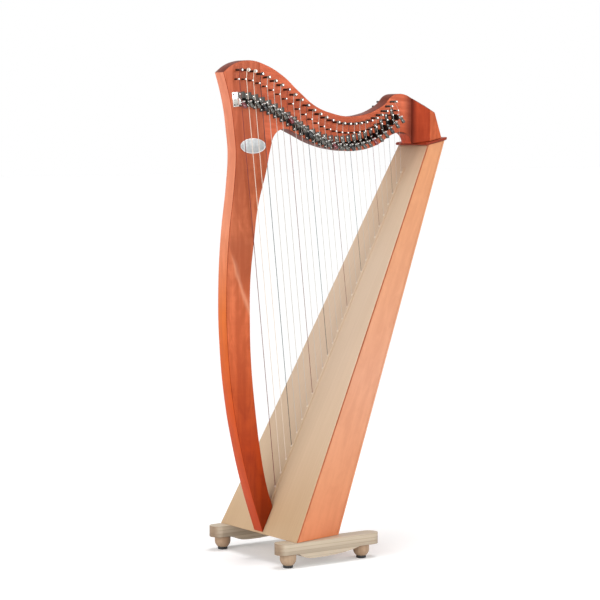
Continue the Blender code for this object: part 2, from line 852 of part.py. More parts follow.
def build_blocks(parts, cutters):
    depth = (board_plane(BOARD_THICK + GAP), back_plane(BACK_THICK + GAP))
    top = six_sided("top_block", depth, inner_faces(), (top_plane(-TOP_BLOCK_HEIGHT), top_plane()))
    add_object("top_block", top, beech(), parts)
    bottom = six_sided("bottom_block", depth, inner_faces(),
                       (seat_plane(), seat_plane(BOTTOM_BLOCK_HEIGHT)))
    item = add_object("bottom_block", bottom, beech(), parts)
    depth = BASE_SCREW_GRIP + GAP
    tools = [(cylinder(BASE_SCREW_RADIUS + PIN_CLEARANCE, 2 * depth, EIGHT,
                       Vector((x, y, SEAT_Z))), Matrix()) for name, x, y in base_screw_places()]
    cut_with(item, joined(tools, "screw_holes"), cutters)


def build_brace(parts):
    """Bar across the inside of the back, between the sound holes."""
    half = BRACE_WIDTH / BOARD_LENGTH / 2
    depth = (back_plane(BACK_THICK + GAP + BRACE_HEIGHT), back_plane(BACK_THICK + GAP))
    mesh = six_sided("soundbox_brace", depth, inner_faces(),
                     (cross_plane(BRACE_SHARE - half), cross_plane(BRACE_SHARE + half)))
    add_object("soundbox_brace", mesh, spruce(), parts)


# Shoulder

def build_shoulder_plate(parts):
    front = crossing(board_plane(0), middle_plane(0), top_plane()).x
    nose = (Vector((front - PLATE_OVERHANG - PLATE_NOSE, 0, 0)), Vector((1, 0, 0)))
    mesh = six_sided("shoulder_plate", (nose, back_plane(-PLATE_OVERHANG)),
                     (side_plane(-1, -PLATE_OVERHANG), side_plane(1, -PLATE_OVERHANG)),
                     (top_plane(GAP), top_plane(PLATE_THICK)))
    item = add_object("shoulder_plate", mesh, plate_wood(), parts)
    round_edges(item, PLATE_ROUND)


def shoulder_seat():
    return top_plane(PLATE_THICK + GAP)


def roof_plane(hand):
    crest = place(*reached(*SHOULDER_CREST)) + ACROSS * hand * NECK_HALF
    along = Vector((1, 0, -ROOF_SLOPE_X))
    out = Vector((0, hand, -ROOF_SLOPE_Y))
    return plane_through(crest, crest + along, crest + out)


def heel_point():
    """Back end of the shoulder on the plate, in the middle plane."""
    edge = crossing(back_plane(), middle_plane(0), shoulder_seat())
    line = (edge - Vector((SHOULDER_HEEL_INSET, 0, 0)), Vector((1, 0, 0)))
    return crossing(line, middle_plane(0), shoulder_seat())


def shoulder_back():
    heel = heel_point()
    return plane_through(heel, heel + ACROSS, heel + Vector((-SHOULDER_BACK_SLOPE, 0, 1)))


def cheek_front(hand):
    base = place(*reached(CHEEK_FRONT, 0)) + ACROSS * hand * NECK_HALF
    out = Vector((CHEEK_FLARE, hand * CHEEK_RUN, 0))
    return plane_through(base, base + out, base + Vector((0, 0, 1)))


def build_cheeks(parts):
    for name, hand in (("shoulder_cheek_near", -1), ("shoulder_cheek_far", 1)):
        faces = (middle_plane(hand * (NECK_HALF + GAP)), side_plane(hand, CHEEK_INSET))
        if hand < 0:
            faces = faces[::-1]
        mesh = six_sided(name, (cheek_front(hand), shoulder_back()), faces,
                         (shoulder_seat(), roof_plane(hand)))
        item = add_object(name, mesh, stained_wood(), parts)
        round_edges(item, CHEEK_ROUND)


# Neck and column

def joint_ends(gap=0.0):
    """Ends of the joint between column and neck, at the top edge and at the inner edge,
    moved towards the neck by the clearance."""
    x = JOINT_TOP_X + gap
    top = smooth_height(reached_line(NECK_TOP), x)
    return (x, top), (JOINT_FOOT[0] + gap, JOINT_FOOT[1])


def top_edge(first, last):
    """Points on the top edge of the neck between two places, ends left out."""
    count = max(round((last - first) / TOP_STEP), 2)
    spots = [first + (last - first) * i / count for i in range(1, count)]
    line = reached_line(NECK_TOP)
    return [(x, smooth_height(line, x), True) for x in spots]


def from_side_view():
    return Matrix.Translation((DATUM_X, 0, SEAT_Z)) @ upright()


def column_outline():
    foot_low = on_board(COLUMN_FOOT_START, -GAP)
    foot_high = on_board(COLUMN_FOOT_START + COLUMN_FOOT_LENGTH, -GAP)
    joint_top, joint_foot = joint_ends()
    loop = [(*COLUMN_NOSE, True)]
    loop += [(x, z, False) for x, z in COLUMN_FRONT]
    loop += [(*side_point(foot_low), True), (*side_point(foot_high), True)]
    loop += [(x, z, False) for x, z in COLUMN_BACK]
    loop += [(*joint_foot, True), (*joint_top, True)]
    loop += top_edge(COLUMN_NOSE[0], joint_top[0])[::-1]
    return loop


def build_column(parts):
    """Column with the pins and brackets of the first strings."""
    mesh = drilled_with_hardware("column", column_outline(), range(COLUMN_STRINGS))
    add_object("column", mesh, stained_wood(), parts)


def rounded_corner(corner, before, after):
    """Three points round a corner, from the offsets at which its round starts and ends."""
    middle = [c + (b + a) / 4 for c, b, a in zip(corner, before, after)]
    return [(corner[0] + before[0], corner[1] + before[1], True), (*middle, False),
            (corner[0] + after[0], corner[1] + after[1], True)]


def neck_outline():
    joint_top, joint_foot = joint_ends(GAP)
    seat_front = crossing((place(*reached(CHEEK_FRONT, 0)), Vector((1, 0, 0))),
                          middle_plane(0), shoulder_seat())
    roof_back = crossing(shoulder_back(), (ACROSS * NECK_HALF, ACROSS), roof_plane(1))
    top_end = reached(*NECK_TOP[-1])
    loop = [(*joint_foot, True), (*joint_top, True)]
    loop += top_edge(joint_top[0], top_end[0])
    loop += [(*top_end, False), (*reached(*SHOULDER_CREST), True)]
    loop += rounded_corner(side_point(roof_back),
                           (-SHOULDER_ROUND, SHOULDER_ROUND * ROOF_SLOPE_X),
                           (SHOULDER_ROUND * SHOULDER_BACK_SLOPE, -SHOULDER_ROUND))
    loop += [(*side_point(heel_point()), True), (*side_point(seat_front), True)]
    loop += [(x, z, False) for x, z in reached_line(NECK_UNDER)]
    return loop


def is_turning(number):
    """The pins of the red strings are pieces of their own."""
    return number % OCTAVE == RED_STEP


def pin_hole_tools(numbers):
    tools = []
    for number in filter(is_turning, numbers):
        pin = tuning_centre(number)
        bore = cylinder(TUNING_RADIUS + PIN_CLEARANCE, 2 * NECK_THICK, EIGHT,
                        Vector((pin.x, 0, pin.z)), ACROSS)
        tools.append((bore, Matrix()))
    return joined(tools, "pin_holes")


def hardware(numbers):
    """What is fixed in the wood at each string: a bridge pin, a lever bracket and, where it
    isn't a piece of its own, a tuning pin."""
    return fixed_tuning_pins(numbers) + bridge_pins(numbers) + brackets(numbers)


def drilled_with_hardware(name, outline, numbers):
    """Wood of one outline, bored for its turning pins and joined to what is fixed in it."""
    wood = outline_solid(name, [outline], NECK_HALF, from_side_view())
    bored = combine(wood, pin_hole_tools(numbers), "DIFFERENCE", name)
    return combine(bored, joined(hardware(numbers), name + "_hardware"), "UNION", name)


def build_neck(parts):
    """Neck with the pins and brackets of all but the first strings."""
    mesh = drilled_with_hardware("neck", neck_outline(), range(COLUMN_STRINGS, STRINGS))
    add_object("neck", mesh, stained_wood(), parts)


def build_badge(parts):
    """Bare oval plate on the near face of the column."""
    centre = place(*BADGE_CENTRE)
    centre.y = -NECK_HALF - GAP - BADGE_THICK / 2
    mesh = outline_solid("badge_plate", [oval(BADGE_LENGTH, BADGE_HEIGHT)], BADGE_THICK / 2,
                         Matrix.Translation(centre) @ upright())
    add_object("badge_plate", mesh, nickel(), parts)


# Pins

def tuning_pin_mesh(sides, far):
    """Pin along Y, with its middle on the neck's near face: a round shaft through the neck
    and, past a far end, a square for the tuning key."""
    near = -TUNING_PROUD
    shaft = cylinder(TUNING_RADIUS, far - near, sides, Vector((0, (near + far) / 2, 0)), ACROSS)
    half = TUNING_SQUARE / 2
    end = NECK_THICK + TUNING_NECK + TUNING_SQUARE_LENGTH
    square = box((-half, far - TUNING_NECK / 2, -half), (half, end, half))
    return combine(shaft, square, "UNION", "tuning_pin")


def fixed_tuning_pins(numbers):
    pin = tuning_pin_mesh(SIX, NECK_HALF)
    return [(pin, Matrix.Translation(tuning_centre(n))) for n in numbers
            if not is_turning(n)]


def build_tuning_pins(parts):
    mesh = tuning_pin_mesh(EIGHT, NECK_THICK + TUNING_NECK)
    for number in range(STRINGS):
        if is_turning(number):
            item = add_object("tuning_pin_%02d" % (number + 1), mesh, nickel(), parts)
            item.location = tuning_centre(number)


def bridge_pins(numbers):
    profile = [(0, BRIDGE_PROUD), (BRIDGE_HEAD_RADIUS, BRIDGE_PROUD),
               (BRIDGE_GROOVE_RADIUS, STRING_STANDOFF), (BRIDGE_RADIUS, -BRIDGE_DEPTH),
               (0, -BRIDGE_DEPTH)]
    pin = turned("bridge_pin", profile, SIX)
    turn = Matrix.Rotation(math.radians(90), 4, "X")
    return [(pin, Matrix.Translation(bridge_centre(n)) @ turn) for n in numbers]


# Strings and what holds their feet

def inner_end_depth():
    return BOARD_THICK + RIB_THICK + STRING_END_LENGTH


def string_mesh(number):
    """Taut wire from inside the box, through the board and over its bridge pin to the
    tuning pin."""
    points = [on_board(foot_along(number), inner_end_depth()), string_bend(number),
              string_top(number), string_end(number)]
    curve = bpy.data.curves.new("string", "CURVE")
    curve.dimensions = "3D"
    curve.bevel_depth = string_radius(number)
    curve.bevel_resolution = 1
    curve.use_fill_caps = True
    spline = curve.splines.new("POLY")
    spline.points.add(len(points) - 1)
    for spot, point in zip(spline.points, points):
        spot.co = (*point, 1)
    item = bpy.data.objects.new("string", curve)
    bpy.context.scene.collection.objects.link(item)
    return evaluated_mesh(item, "string")


def strip_mesh():
    """Strip of wood on the soundboard that the strings come out of."""
    low = COLUMN_FOOT_START + COLUMN_FOOT_LENGTH + STRIP_MARGIN
    high = foot_along(STRINGS - 1) + STRIP_MARGIN
    edges = tuple(rib_edge(h, STRIP_WIDTH, STRIP_WIDTH) for h in (-1, 1))
    return six_sided("strip", (board_plane(-GAP - STRIP_THICK), board_plane(-GAP)), edges,
                     (cross_plane(low / BOARD_LENGTH), cross_plane(high / BOARD_LENGTH)))


def build_strings(parts):
    """The strings, with the strip that they come out of."""
    wires = [(string_mesh(n), Matrix()) for n in range(STRINGS)]
    mesh = combine(strip_mesh(), joined(wires, "wires"), "UNION", "strings")
    add_object("strings", mesh, material("string_natural", (0.75, 0.73, 0.68), 0.35), parts)


# Sharping levers

def bracket_mesh():
    """Foot plate, ear, fret and pivot pin of one lever, in the lever's frame. The plate's
    left edge is set later."""
    left = LEVER_PLATE_RIGHT - TOP_PITCH / 2
    plate = box((left, -GAP - LEVER_PLATE_THICK, -LEVER_PLATE_DOWN),
                (LEVER_PLATE_RIGHT, -GAP, LEVER_PLATE_UP))
    ear = box((LEVER_PLATE_RIGHT - EAR_THICK, -EAR_REACH, -EAR_DOWN),
              (LEVER_PLATE_RIGHT - EAR_INSET, EAR_ROOT, EAR_UP))
    fret = box((LEVER_PLATE_RIGHT - EAR_THICK / 2, -FRET_REACH, -FRET_HEIGHT / 2),
               (FRET_END, -FRET_REACH + FRET_THICK, FRET_HEIGHT / 2))
    root = LEVER_PLATE_RIGHT - EAR_THICK / 2
    pivot = cylinder(PIVOT_RADIUS, PIVOT_END - root, SIX,
                     Vector(((PIVOT_END + root) / 2, -PIVOT_OUT, -PIVOT_DROP)), Vector((1, 0, 0)))
    whole = combine(plate, ear, "UNION", "bracket")
    whole = combine(whole, fret, "UNION", "bracket")
    return combine(whole, pivot, "UNION", "bracket")


def brackets(numbers):
    """Brackets whose plates are as wide as the strings' pitch leaves room for."""
    template = bracket_mesh()
    copies = []
    for number in numbers:
        mesh = template.copy()
        left = LEVER_PLATE_SPACE - top_pitch(number)
        for vert in mesh.vertices:
            if vert.co.x < LEVER_PLATE_RIGHT - 2 * EAR_THICK:
                vert.co.x = left
        copies.append((mesh, lever_frame(number)))
    return copies


def lever_outline():
    """Side view of a lever about its pivot, with y out from the neck and the handle down:
    hub, handle with a rounded tip, and the cam."""
    def spot(radius, angle, offset=0.0):
        # The angle is counted from straight down towards the player
        along = Vector((math.sin(angle), -math.cos(angle)))
        side = Vector((math.cos(angle), math.sin(angle)))
        point = along * radius + side * offset
        return point.x, point.y

    tip = LEVER_LENGTH - LEVER_TIP / 2
    points = [spot(LEVER_HUB_RADIUS, LEVER_TILT, -LEVER_NECK / 2)]
    points.append(spot(tip, LEVER_TILT, -LEVER_TIP / 2))
    points += [spot(tip + LEVER_TIP / 2 * math.sin(a), LEVER_TILT, -LEVER_TIP / 2 * math.cos(a))
               for a in map(math.radians, LEVER_TIP_ANGLES)]
    points.append(spot(tip, LEVER_TILT, LEVER_TIP / 2))
    points.append(spot(LEVER_HUB_RADIUS, LEVER_TILT, LEVER_NECK / 2))
    points.append(spot(LEVER_HUB_RADIUS, math.radians(LEVER_NECK_ANGLE)))
    points.append(spot(CAM_REACH, CAM_ANGLE, -CAM_RADIUS))
    points.append(spot(CAM_REACH + CAM_RADIUS, CAM_ANGLE))
    points.append(spot(CAM_REACH, CAM_ANGLE, CAM_RADIUS))
    points += [spot(LEVER_HUB_RADIUS, a) for a in map(math.radians, LEVER_HUB_ANGLES)]
    return [(x, y, True) for x, y in points]


def lever_mesh():
    bore = [(LEVER_BORE * math.cos(a), LEVER_BORE * math.sin(a), True)
            for a in (2 * math.pi * i / SIX for i in range(SIX))]
    outline = lever_outline()
    # The flat outline's x points out from the neck, along the frame's -Y
    turn = Matrix(((0, 0, 1, 0), (-1, 0, 0, 0), (0, 1, 0, 0), (0, 0, 0, 1)))
    return outline_solid("lever", [outline, bore], LEVER_WIDTH / 2, turn)


def build_levers(parts):
    """One lever for each string, with its origin on the pivot."""
    template = lever_mesh()
    for number in range(STRINGS):
        item = add_object("lever_%02d" % (number + 1), template.copy(), lever_colour(number),
                          parts)
        pivot = Matrix.Translation((0, -PIVOT_OUT, -PIVOT_DROP))
        item.matrix_world = lever_frame(number) @ pivot


def main():
    clear_scene()
    parts = new_collection("lever_harp")
    cutters = new_collection("cutters")
    build_pads(parts)
    build_ball_feet(parts)
    build_rails(parts, cutters)
    build_base_screws(parts)
    build_soundboard(parts, cutters)
    build_string_rib(parts, cutters)
    build_sides(parts)
    build_back(parts, cutters)
    build_blocks(parts, cutters)
    build_brace(parts)
    build_shoulder_plate(parts)
    build_cheeks(parts)
    build_column(parts)
    build_neck(parts)
    build_badge(parts)
    build_tuning_pins(parts)
    build_strings(parts)
    build_levers(parts)


main()
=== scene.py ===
# %% [markdown]
# # A lever harp, dressed
# The packed model already holds every piece of the harp at its real size and place. It is
# loaded first and stays untouched. Each cell after it gives one group of pieces the rounded
# edges, grain, metal and string that the real harp has, so that the looks can be studied
# step by step.

# %% Load the model
import math

import bmesh
import bpy
from mathutils import Matrix, Vector


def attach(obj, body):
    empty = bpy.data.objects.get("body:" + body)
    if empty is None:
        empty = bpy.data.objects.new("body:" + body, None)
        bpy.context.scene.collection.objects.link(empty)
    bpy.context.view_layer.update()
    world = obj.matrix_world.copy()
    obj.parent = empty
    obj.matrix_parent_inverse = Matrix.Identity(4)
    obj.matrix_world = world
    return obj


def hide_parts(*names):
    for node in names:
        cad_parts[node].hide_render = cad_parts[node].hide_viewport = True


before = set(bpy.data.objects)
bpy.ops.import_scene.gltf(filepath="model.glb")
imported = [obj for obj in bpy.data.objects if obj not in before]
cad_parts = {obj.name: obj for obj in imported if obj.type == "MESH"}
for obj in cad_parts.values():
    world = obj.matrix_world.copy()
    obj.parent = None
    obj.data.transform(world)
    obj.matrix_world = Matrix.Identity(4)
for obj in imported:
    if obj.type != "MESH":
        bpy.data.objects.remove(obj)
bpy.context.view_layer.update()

# %% [markdown]
# ## The camera
# The harp is seen from a few metres away, from the column's side and a little above the
# middle of the strings. A long lens keeps the upright lines upright, as a product picture
# does. A Track To constraint could aim the camera, but fixed angles keep the view the same
# while the pieces change.

# %% Camera
CAMERA_PLACE = (-2.9076, -4.044, 0.9671)
CAMERA_TURN = (85.39, 0.0, -34.91)
CAMERA_LENS = 132.9


def placed(name, data):
    """New object of the scene that shows some data."""
    item = bpy.data.objects.new(name, data)
    bpy.context.scene.collection.objects.link(item)
    return item


lens = bpy.data.cameras.new("camera")
lens.lens = CAMERA_LENS
camera = placed("camera", lens)
camera.location = CAMERA_PLACE
camera.rotation_euler = [math.radians(angle) for angle in CAMERA_TURN]
bpy.context.scene.camera = camera
print("camera", tuple(camera.location), "lens", lens.lens)

# %% [markdown]
# ## Writing materials as sums
# A wood or metal finish is a chain of texture nodes. Adding each node and each link by hand
# takes five lines a node and hides the idea. Here a socket is wrapped in a small class that
# knows plus, minus and times, so that a mask reads like the sum it is. Every other node
# comes from one method, which takes its type, its settings and what goes into its sockets.
# The sky's nodes are made the same way, so that method has a class of its own.

# %% A socket that can be used in sums
class Wire:
    def __init__(self, nodes, socket):
        self.nodes = nodes
        self.socket = socket

    def math(self, operation, *others):
        return self.nodes.node("Math", {"operation": operation},
                               dict(enumerate((self, *others))))

    def __add__(self, other):
        return self.math("ADD", other)

    def __sub__(self, other):
        return self.math("SUBTRACT", other)

    def __rsub__(self, other):
        return self.math("MULTIPLY_ADD", -1.0, other)

    def __mul__(self, other):
        return self.math("MULTIPLY", other)

    __radd__ = __add__
    __rmul__ = __mul__


print("sums of sockets with + - *")


# %% The nodes of one tree
def set_stops(elements, stops):
    """A ramp starts with two stops, so the ones between them are added first."""
    for at, colour in stops[1:-1]:
        elements.new(at)
    for element, (at, colour) in zip(elements, stops):
        element.position, element.color = at, (*colour, 1)


class Nodes:
    def __init__(self, tree):
        self.tree = tree

    def node(self, kind, settings, inputs, output=0):
        made = self.tree.nodes.new("ShaderNode" + kind)
        for key, value in settings.items():
            if key == "stops":
                set_stops(made.color_ramp.elements, value)
            else:
                setattr(made, key, value)
        self.feed(made, inputs)
        return Wire(self, made.outputs[output])

    def feed(self, node, inputs):
        for key, value in inputs.items():
            if isinstance(value, Wire):
                self.tree.links.new(value.socket, node.inputs[key])
            else:
                node.inputs[key].default_value = value


print("nodes come from", Nodes.node.__qualname__)

# %% A material and its nodes
COLOUR_FACTOR, COLOUR_A, COLOUR_B, COLOUR_RESULT = 0, 6, 7, 2


class Finish(Nodes):
    def __init__(self, name, **constants):
        self.material = bpy.data.materials.new(name)
        self.material.use_nodes = True
        super().__init__(self.material.node_tree)
        self.shader = self.tree.nodes["Principled BSDF"]
        self.give(constants)

    def give(self, inputs):
        """Feeds the shader's own sockets, named with underscores for spaces."""
        self.feed(self.shader, {key.replace("_", " "): v for key, v in inputs.items()})

    def place(self, turn=(0, 0, 0)):
        """Place on the piece, turned so that the grain runs along Z."""
        where = self.node("TexCoord", {}, {}, "Object")
        return self.node("Mapping", {}, {"Vector": where, "Rotation": turn})

    def part_of(self, vector, axis):
        """One part of the place on the piece (Object) or of where it faces (Normal)."""
        where = self.node("TexCoord", {}, {}, vector)
        return self.node("SeparateXYZ", {}, {"Vector": where}, axis)

    def noise(self, place, scales, detail, distortion=0.0):
        """Noise from 0 to 1, with its own scale along each axis."""
        where = self.node("VectorMath", {"operation": "MULTIPLY"}, {0: place, 1: scales})
        return self.node("TexNoise", {}, {"Vector": where, "Scale": 1.0, "Detail": detail,
                                          "Distortion": distortion}, "Fac")

    def step(self, value, low, high):
        """0 under low and 1 over high, with a smooth change in between."""
        return self.node("MapRange", {"interpolation_type": "SMOOTHSTEP"},
                         {"Value": value, "From Min": low, "From Max": high})

    def mixed(self, share, first, second, blend="MIX"):
        """Colour between two others."""
        shades = [c if isinstance(c, Wire) else (*c, 1) for c in (first, second)]
        return self.node("Mix", {"data_type": "RGBA", "blend_type": blend},
                         {COLOUR_FACTOR: share, COLOUR_A: shades[0], COLOUR_B: shades[1]},
                         COLOUR_RESULT)

    def tinted(self, first, second):
        return self.mixed(1.0, first, second, "MULTIPLY")

    def by_height(self, colours):
        """Colour that changes with height, from a list of heights and screen colours."""
        stops = [(height, tone(colour)) for height, colour in colours]
        return self.node("ValToRGB", {"stops": stops}, {"Fac": self.part_of("Object", "Z")})

    def bump(self, height, depth):
        return self.node("Bump", {}, {"Height": height, "Distance": depth, "Strength": 1.0})


print("a finish can make", [name for name in vars(Finish) if name[0] != "_"])

# %% [markdown]
# ## Wood
# Seen close, wood is long fibres: wide soft bands from the yearly growth, thin streaks
# along them, short dark pores, and a faint figure across the grain where the fibres wave.
# All of them are stretched noise. An image of wood would repeat and would need its own
# unwrapping, while noise in the piece's own coordinates runs through the solid as real grain
# does, and shows end grain by itself.

# %% Colours as a screen shows them
def tone(numbers):
    """Light values from the red, green and blue that a screen uses, 0 to 255."""
    return tuple(((c / 255 + 0.055) / 1.055) ** 2.4 for c in numbers)


print("middle grey", [round(light, 3) for light in tone((119, 119, 119))])

# %% Wood finish
# Waves per metre of each noise, twice across the grain and once along it
BANDS, CLOUDS = (16.0, 16.0, 0.9), (34.0, 34.0, 13.0)
PORES, FIGURE = (900.0, 900.0, 14.0), (9.0, 9.0, 60.0)
BAND_PART, STREAK_PART, CLOUD_PART, FIGURE_PART = 0.34, 0.26, 0.33, 0.07
STREAK_TINT, PORE_TINT = (0.70, 0.58, 0.50), (0.60, 0.48, 0.42)
GRAIN_DEPTH = 0.00010


def wood(name, colour, turn=(0, 0, 0), streak=150.0, depth=1.0, pores=0.30, roughness=0.36,
         coat=0.04, shine=0.14):
    """Wood of one screen colour, or of a list of heights and screen colours."""
    finish = Finish(name, Coat_Weight=coat, Coat_Roughness=0.15, Specular_IOR_Level=shine)
    place = finish.place(turn)
    bands = finish.noise(place, BANDS, 4.0, 0.6)
    streaks = finish.noise(place, (streak, streak, 3.0), 3.0)
    clouds = finish.noise(place, CLOUDS, 3.0, 1.6)
    specks = finish.step(finish.noise(place, PORES, 2.0), 0.60, 0.74)
    figure = finish.noise(place, FIGURE, 2.0, 1.5)
    colour = finish.by_height(colour) if isinstance(colour, list) else tone(colour)
    share = finish.step(bands * BAND_PART + streaks * STREAK_PART + clouds * CLOUD_PART
                        + figure * FIGURE_PART, 0.39, 0.61)
    shade = finish.mixed((1 - share) * depth, colour, finish.tinted(colour, STREAK_TINT))
    finish.shade = finish.mixed(specks * pores, shade, finish.tinted(shade, PORE_TINT))
    finish.give({"Base Color": finish.shade,
                 "Roughness": roughness + 0.10 * streaks,
                 "Normal": finish.bump(streaks * 0.5 - specks * pores, GRAIN_DEPTH)})
    return finish


def stain(finish, mask, colour):
    """Gives a wood a second screen colour where the mask is high."""
    finish.shade = finish.mixed(mask, finish.shade, tone(colour))
    finish.give({"Base Color": finish.shade})


print("parts of the grain", BAND_PART, STREAK_PART, CLOUD_PART, FIGURE_PART)

# %% Woods of the harp
BOARD_LEAN = math.radians(26.73)
ALONG_BOARD = (0, -BOARD_LEAN, 0)
ALONG_NECK = (0, math.radians(-98), 0)

column_wood = wood("column_wood", [
    (0.09, (138, 45, 2)), (0.25, (170, 58, 8)), (0.37, (192, 82, 36)),
    (0.50, (216, 110, 66)), (0.70, (206, 116, 78)), (0.86, (187, 98, 62)),
    (0.99, (206, 110, 76))])
# Painted light: faces of the column that look left take this lighter, pinker wood
lit_front_wood = wood("lit_front_wood", [
    (0.09, (184, 60, 4)), (0.35, (202, 78, 12)), (0.55, (217, 110, 46)),
    (0.75, (232, 148, 114)), (0.95, (224, 136, 104))], depth=0.5)
neck_wood = wood("neck_wood", (219, 112, 77), ALONG_NECK)
box_wood = wood("box_wood", [
    (0.06, (217, 133, 90)), (0.18, (222, 149, 108)), (0.40, (227, 163, 130)),
    (0.88, (228, 160, 114))], ALONG_BOARD, streak=90.0, depth=0.30, pores=0.08, coat=0.15)
shoulder_wood = wood("shoulder_wood", (208, 104, 62))
plate_wood = wood("plate_wood", (146, 52, 26), ALONG_NECK)
inner_wood = wood("inner_wood", (206, 180, 150), ALONG_BOARD, coat=0.0, roughness=0.55)
foot_wood = wood("foot_wood", (176, 151, 126), depth=0.6, roughness=0.45)
print("finishes", len(bpy.data.materials))

# %% [markdown]
# ## Painted shade, painted light and a pale figure
# The cheeks' fronts and the edges that look up or down are painted darker, as painted
# shade, and so are the column's rounded arris and the corners beside the shoulder. The
# facets of the fold under the neck that look left are painted a brighter red, as painted
# light. Where its fibres swirl, the column shows a pale line aslant with a darker field
# above it. Painting such places by hand would need an unwrapped image. A mask made from
# the place on the piece needs none.

# %% Finishes of edges and corners
# Painted shade: faces that look up, and the neck's undersides, take this dark wood
edges_in_shade = wood("edges_in_shade", (118, 58, 44), ALONG_NECK, coat=0.0, shine=0.05)
# Painted shade: the cheeks' fronts are darker, darkest in the crease by the neck
cheek_front_shade = wood("cheek_front_shade", (178, 70, 38), coat=0.0, shine=0.08)
# Painted shade: a dark line along the column's rounded front arris
arris_shade = wood("arris_shade", (146, 52, 24), coat=0.0, shine=0.05)
# Painted light: facets of the fold under the neck that look left, brighter red
lit_fold_wood = wood("lit_fold_wood", (206, 88, 58), ALONG_NECK, coat=0.0, shine=0.08)
# Painted shade in the crease where the cheeks' fronts meet the neck's side
across = cheek_front_shade.part_of("Object", "Y").math("ABSOLUTE")
corner = 1 - cheek_front_shade.step(across, 0.0175, 0.0290)
stain(cheek_front_shade, corner * 0.90, (84, 20, 8))
# Painted shade: the neck's side darkens towards the cheeks, beside the shoulder
corner = neck_wood.step(neck_wood.part_of("Object", "X"), 0.1860, 0.2126)
stain(neck_wood, corner * 0.85, (100, 30, 14))
print("finishes", len(bpy.data.materials))

# %% Figure of the column
FIGURE_SLANT, FIGURE_SWAY, FIGURE_PLACE = 0.36, 0.016, 0.0262

x, z = column_wood.part_of("Object", "X"), column_wood.part_of("Object", "Z")
waves = column_wood.noise(column_wood.place(), (45.0, 45.0, 18.0), 2.0)
aslant = x + z * FIGURE_SLANT + waves * FIGURE_SWAY + FIGURE_PLACE


def on_column(start, full, fading, end):
    """1 from one height of the column to another, with soft ends."""
    return column_wood.step(z, start, full) * (1 - column_wood.step(z, fading, end))


line = 1 - column_wood.step(aslant.math("ABSOLUTE"), 0.0, 0.0090)
above = column_wood.step(aslant, -0.004, 0.003)
pale = line.math("MAXIMUM", (1 - column_wood.step(z, 0.545, 0.600)) * above * 0.75)
stain(column_wood, pale * on_column(0.440, 0.510, 0.655, 0.685) * 0.55, (226, 158, 124))
stain(column_wood, above * on_column(0.585, 0.640, 0.700, 0.735) * 0.50, (150, 70, 40))
print("figure leans", round(math.degrees(math.atan(FIGURE_SLANT)), 1), "degrees")

# %% [markdown]
# ## Soundboard and base woods
# The soundboard is a conifer: pale, with very straight and fine lines, and it isn't
# stained. Its edges are stained with the box. The rails are glued from thin layers, which
# show as level bands along their sides, so height picks the band. Their round ends are
# painted darker, as painted shade.

# %% Soundboard finish
BOARD_FACE = (math.cos(BOARD_LEAN), 0, -math.sin(BOARD_LEAN))


def board_finish(name):
    """Pale straight-grained wood, a little darker towards both ends."""
    finish = Finish(name, Coat_Weight=0.05, Coat_Roughness=0.3, Specular_IOR_Level=0.3)
    place = finish.place(ALONG_BOARD)
    lines = finish.noise(place, (240.0, 240.0, 0.5), 2.0)
    cloud = finish.noise(place, (9.0, 9.0, 1.6), 3.0, 0.4)
    # Painted shade and painted red reflection darken and redden the top, under the plate
    colour = finish.by_height([
        (0.09, (190, 160, 126)), (0.25, (200, 175, 147)), (0.45, (206, 182, 158)),
        (0.65, (208, 184, 160)), (0.82, (204, 177, 150)), (0.91, (192, 158, 130))])
    share = finish.step(lines * 0.35 + cloud * 0.65, 0.34, 0.66)
    finish.give({"Base Color": finish.mixed((1 - share) * 0.5, colour,
                                            finish.tinted(colour, (0.80, 0.76, 0.70))),
                 "Roughness": 0.42 + 0.12 * lines,
                 "Normal": finish.bump(lines, 0.00006)})
    return finish


spruce, strip_wood = board_finish("spruce"), board_finish("strip_wood")
stained_edge = wood("stained_edge", (190, 110, 72), ALONG_BOARD)
print("finishes", len(bpy.data.materials))

# %% Rail finish
LAYER_HEIGHT = 0.0078


def rail_finish():
    finish = Finish("rail_wood", Coat_Weight=0.08, Coat_Roughness=0.3, Specular_IOR_Level=0.3)
    place = finish.place((0, math.radians(90), 0))
    streaks = finish.noise(place, (120.0, 120.0, 4.0), 3.0)
    level = finish.part_of("Object", "Z") * (1 / LAYER_HEIGHT) + streaks * 0.10
    part = level.math("FRACT")
    seam = 1 - finish.step(part.math("PINGPONG", 0.5), 0.0, 0.09)
    layer = finish.node("TexWhiteNoise", {"noise_dimensions": "1D"},
                        {"W": level.math("FLOOR")}, "Value")
    shade = finish.mixed(finish.step(streaks * 0.7 + layer * 0.3, 0.20, 0.80),
                         tone((166, 151, 131)), tone((196, 181, 159)))
    # Painted shade: the round ends, which look forward and back, are darker
    shaded_ends = finish.part_of("Normal", "X").math("ABSOLUTE")
    shade = finish.mixed(finish.step(shaded_ends, 0.30, 0.95), shade,
                         finish.tinted(shade, (0.60, 0.50, 0.43)))
    finish.give({"Base Color": finish.mixed(seam * 0.60, shade, tone((130, 108, 90))),
                 "Roughness": 0.45 + 0.10 * streaks,
                 "Normal": finish.bump(streaks * 0.4 - seam * 0.4, 0.00012)})
    return finish


rail_wood = rail_finish()
print("layer height", LAYER_HEIGHT)

# %% [markdown]
# ## Metal, rubber, plastic and string
# The pins and brackets are nickel-plated and the badge is satin metal. Plating is never
# even: a faint cloud in the roughness breaks up the mirror. The handles of the levers are
# plastic in the colours that harpists use: red on every C, black on every F, and a
# clear grey on the rest. The strings follow the same colours.

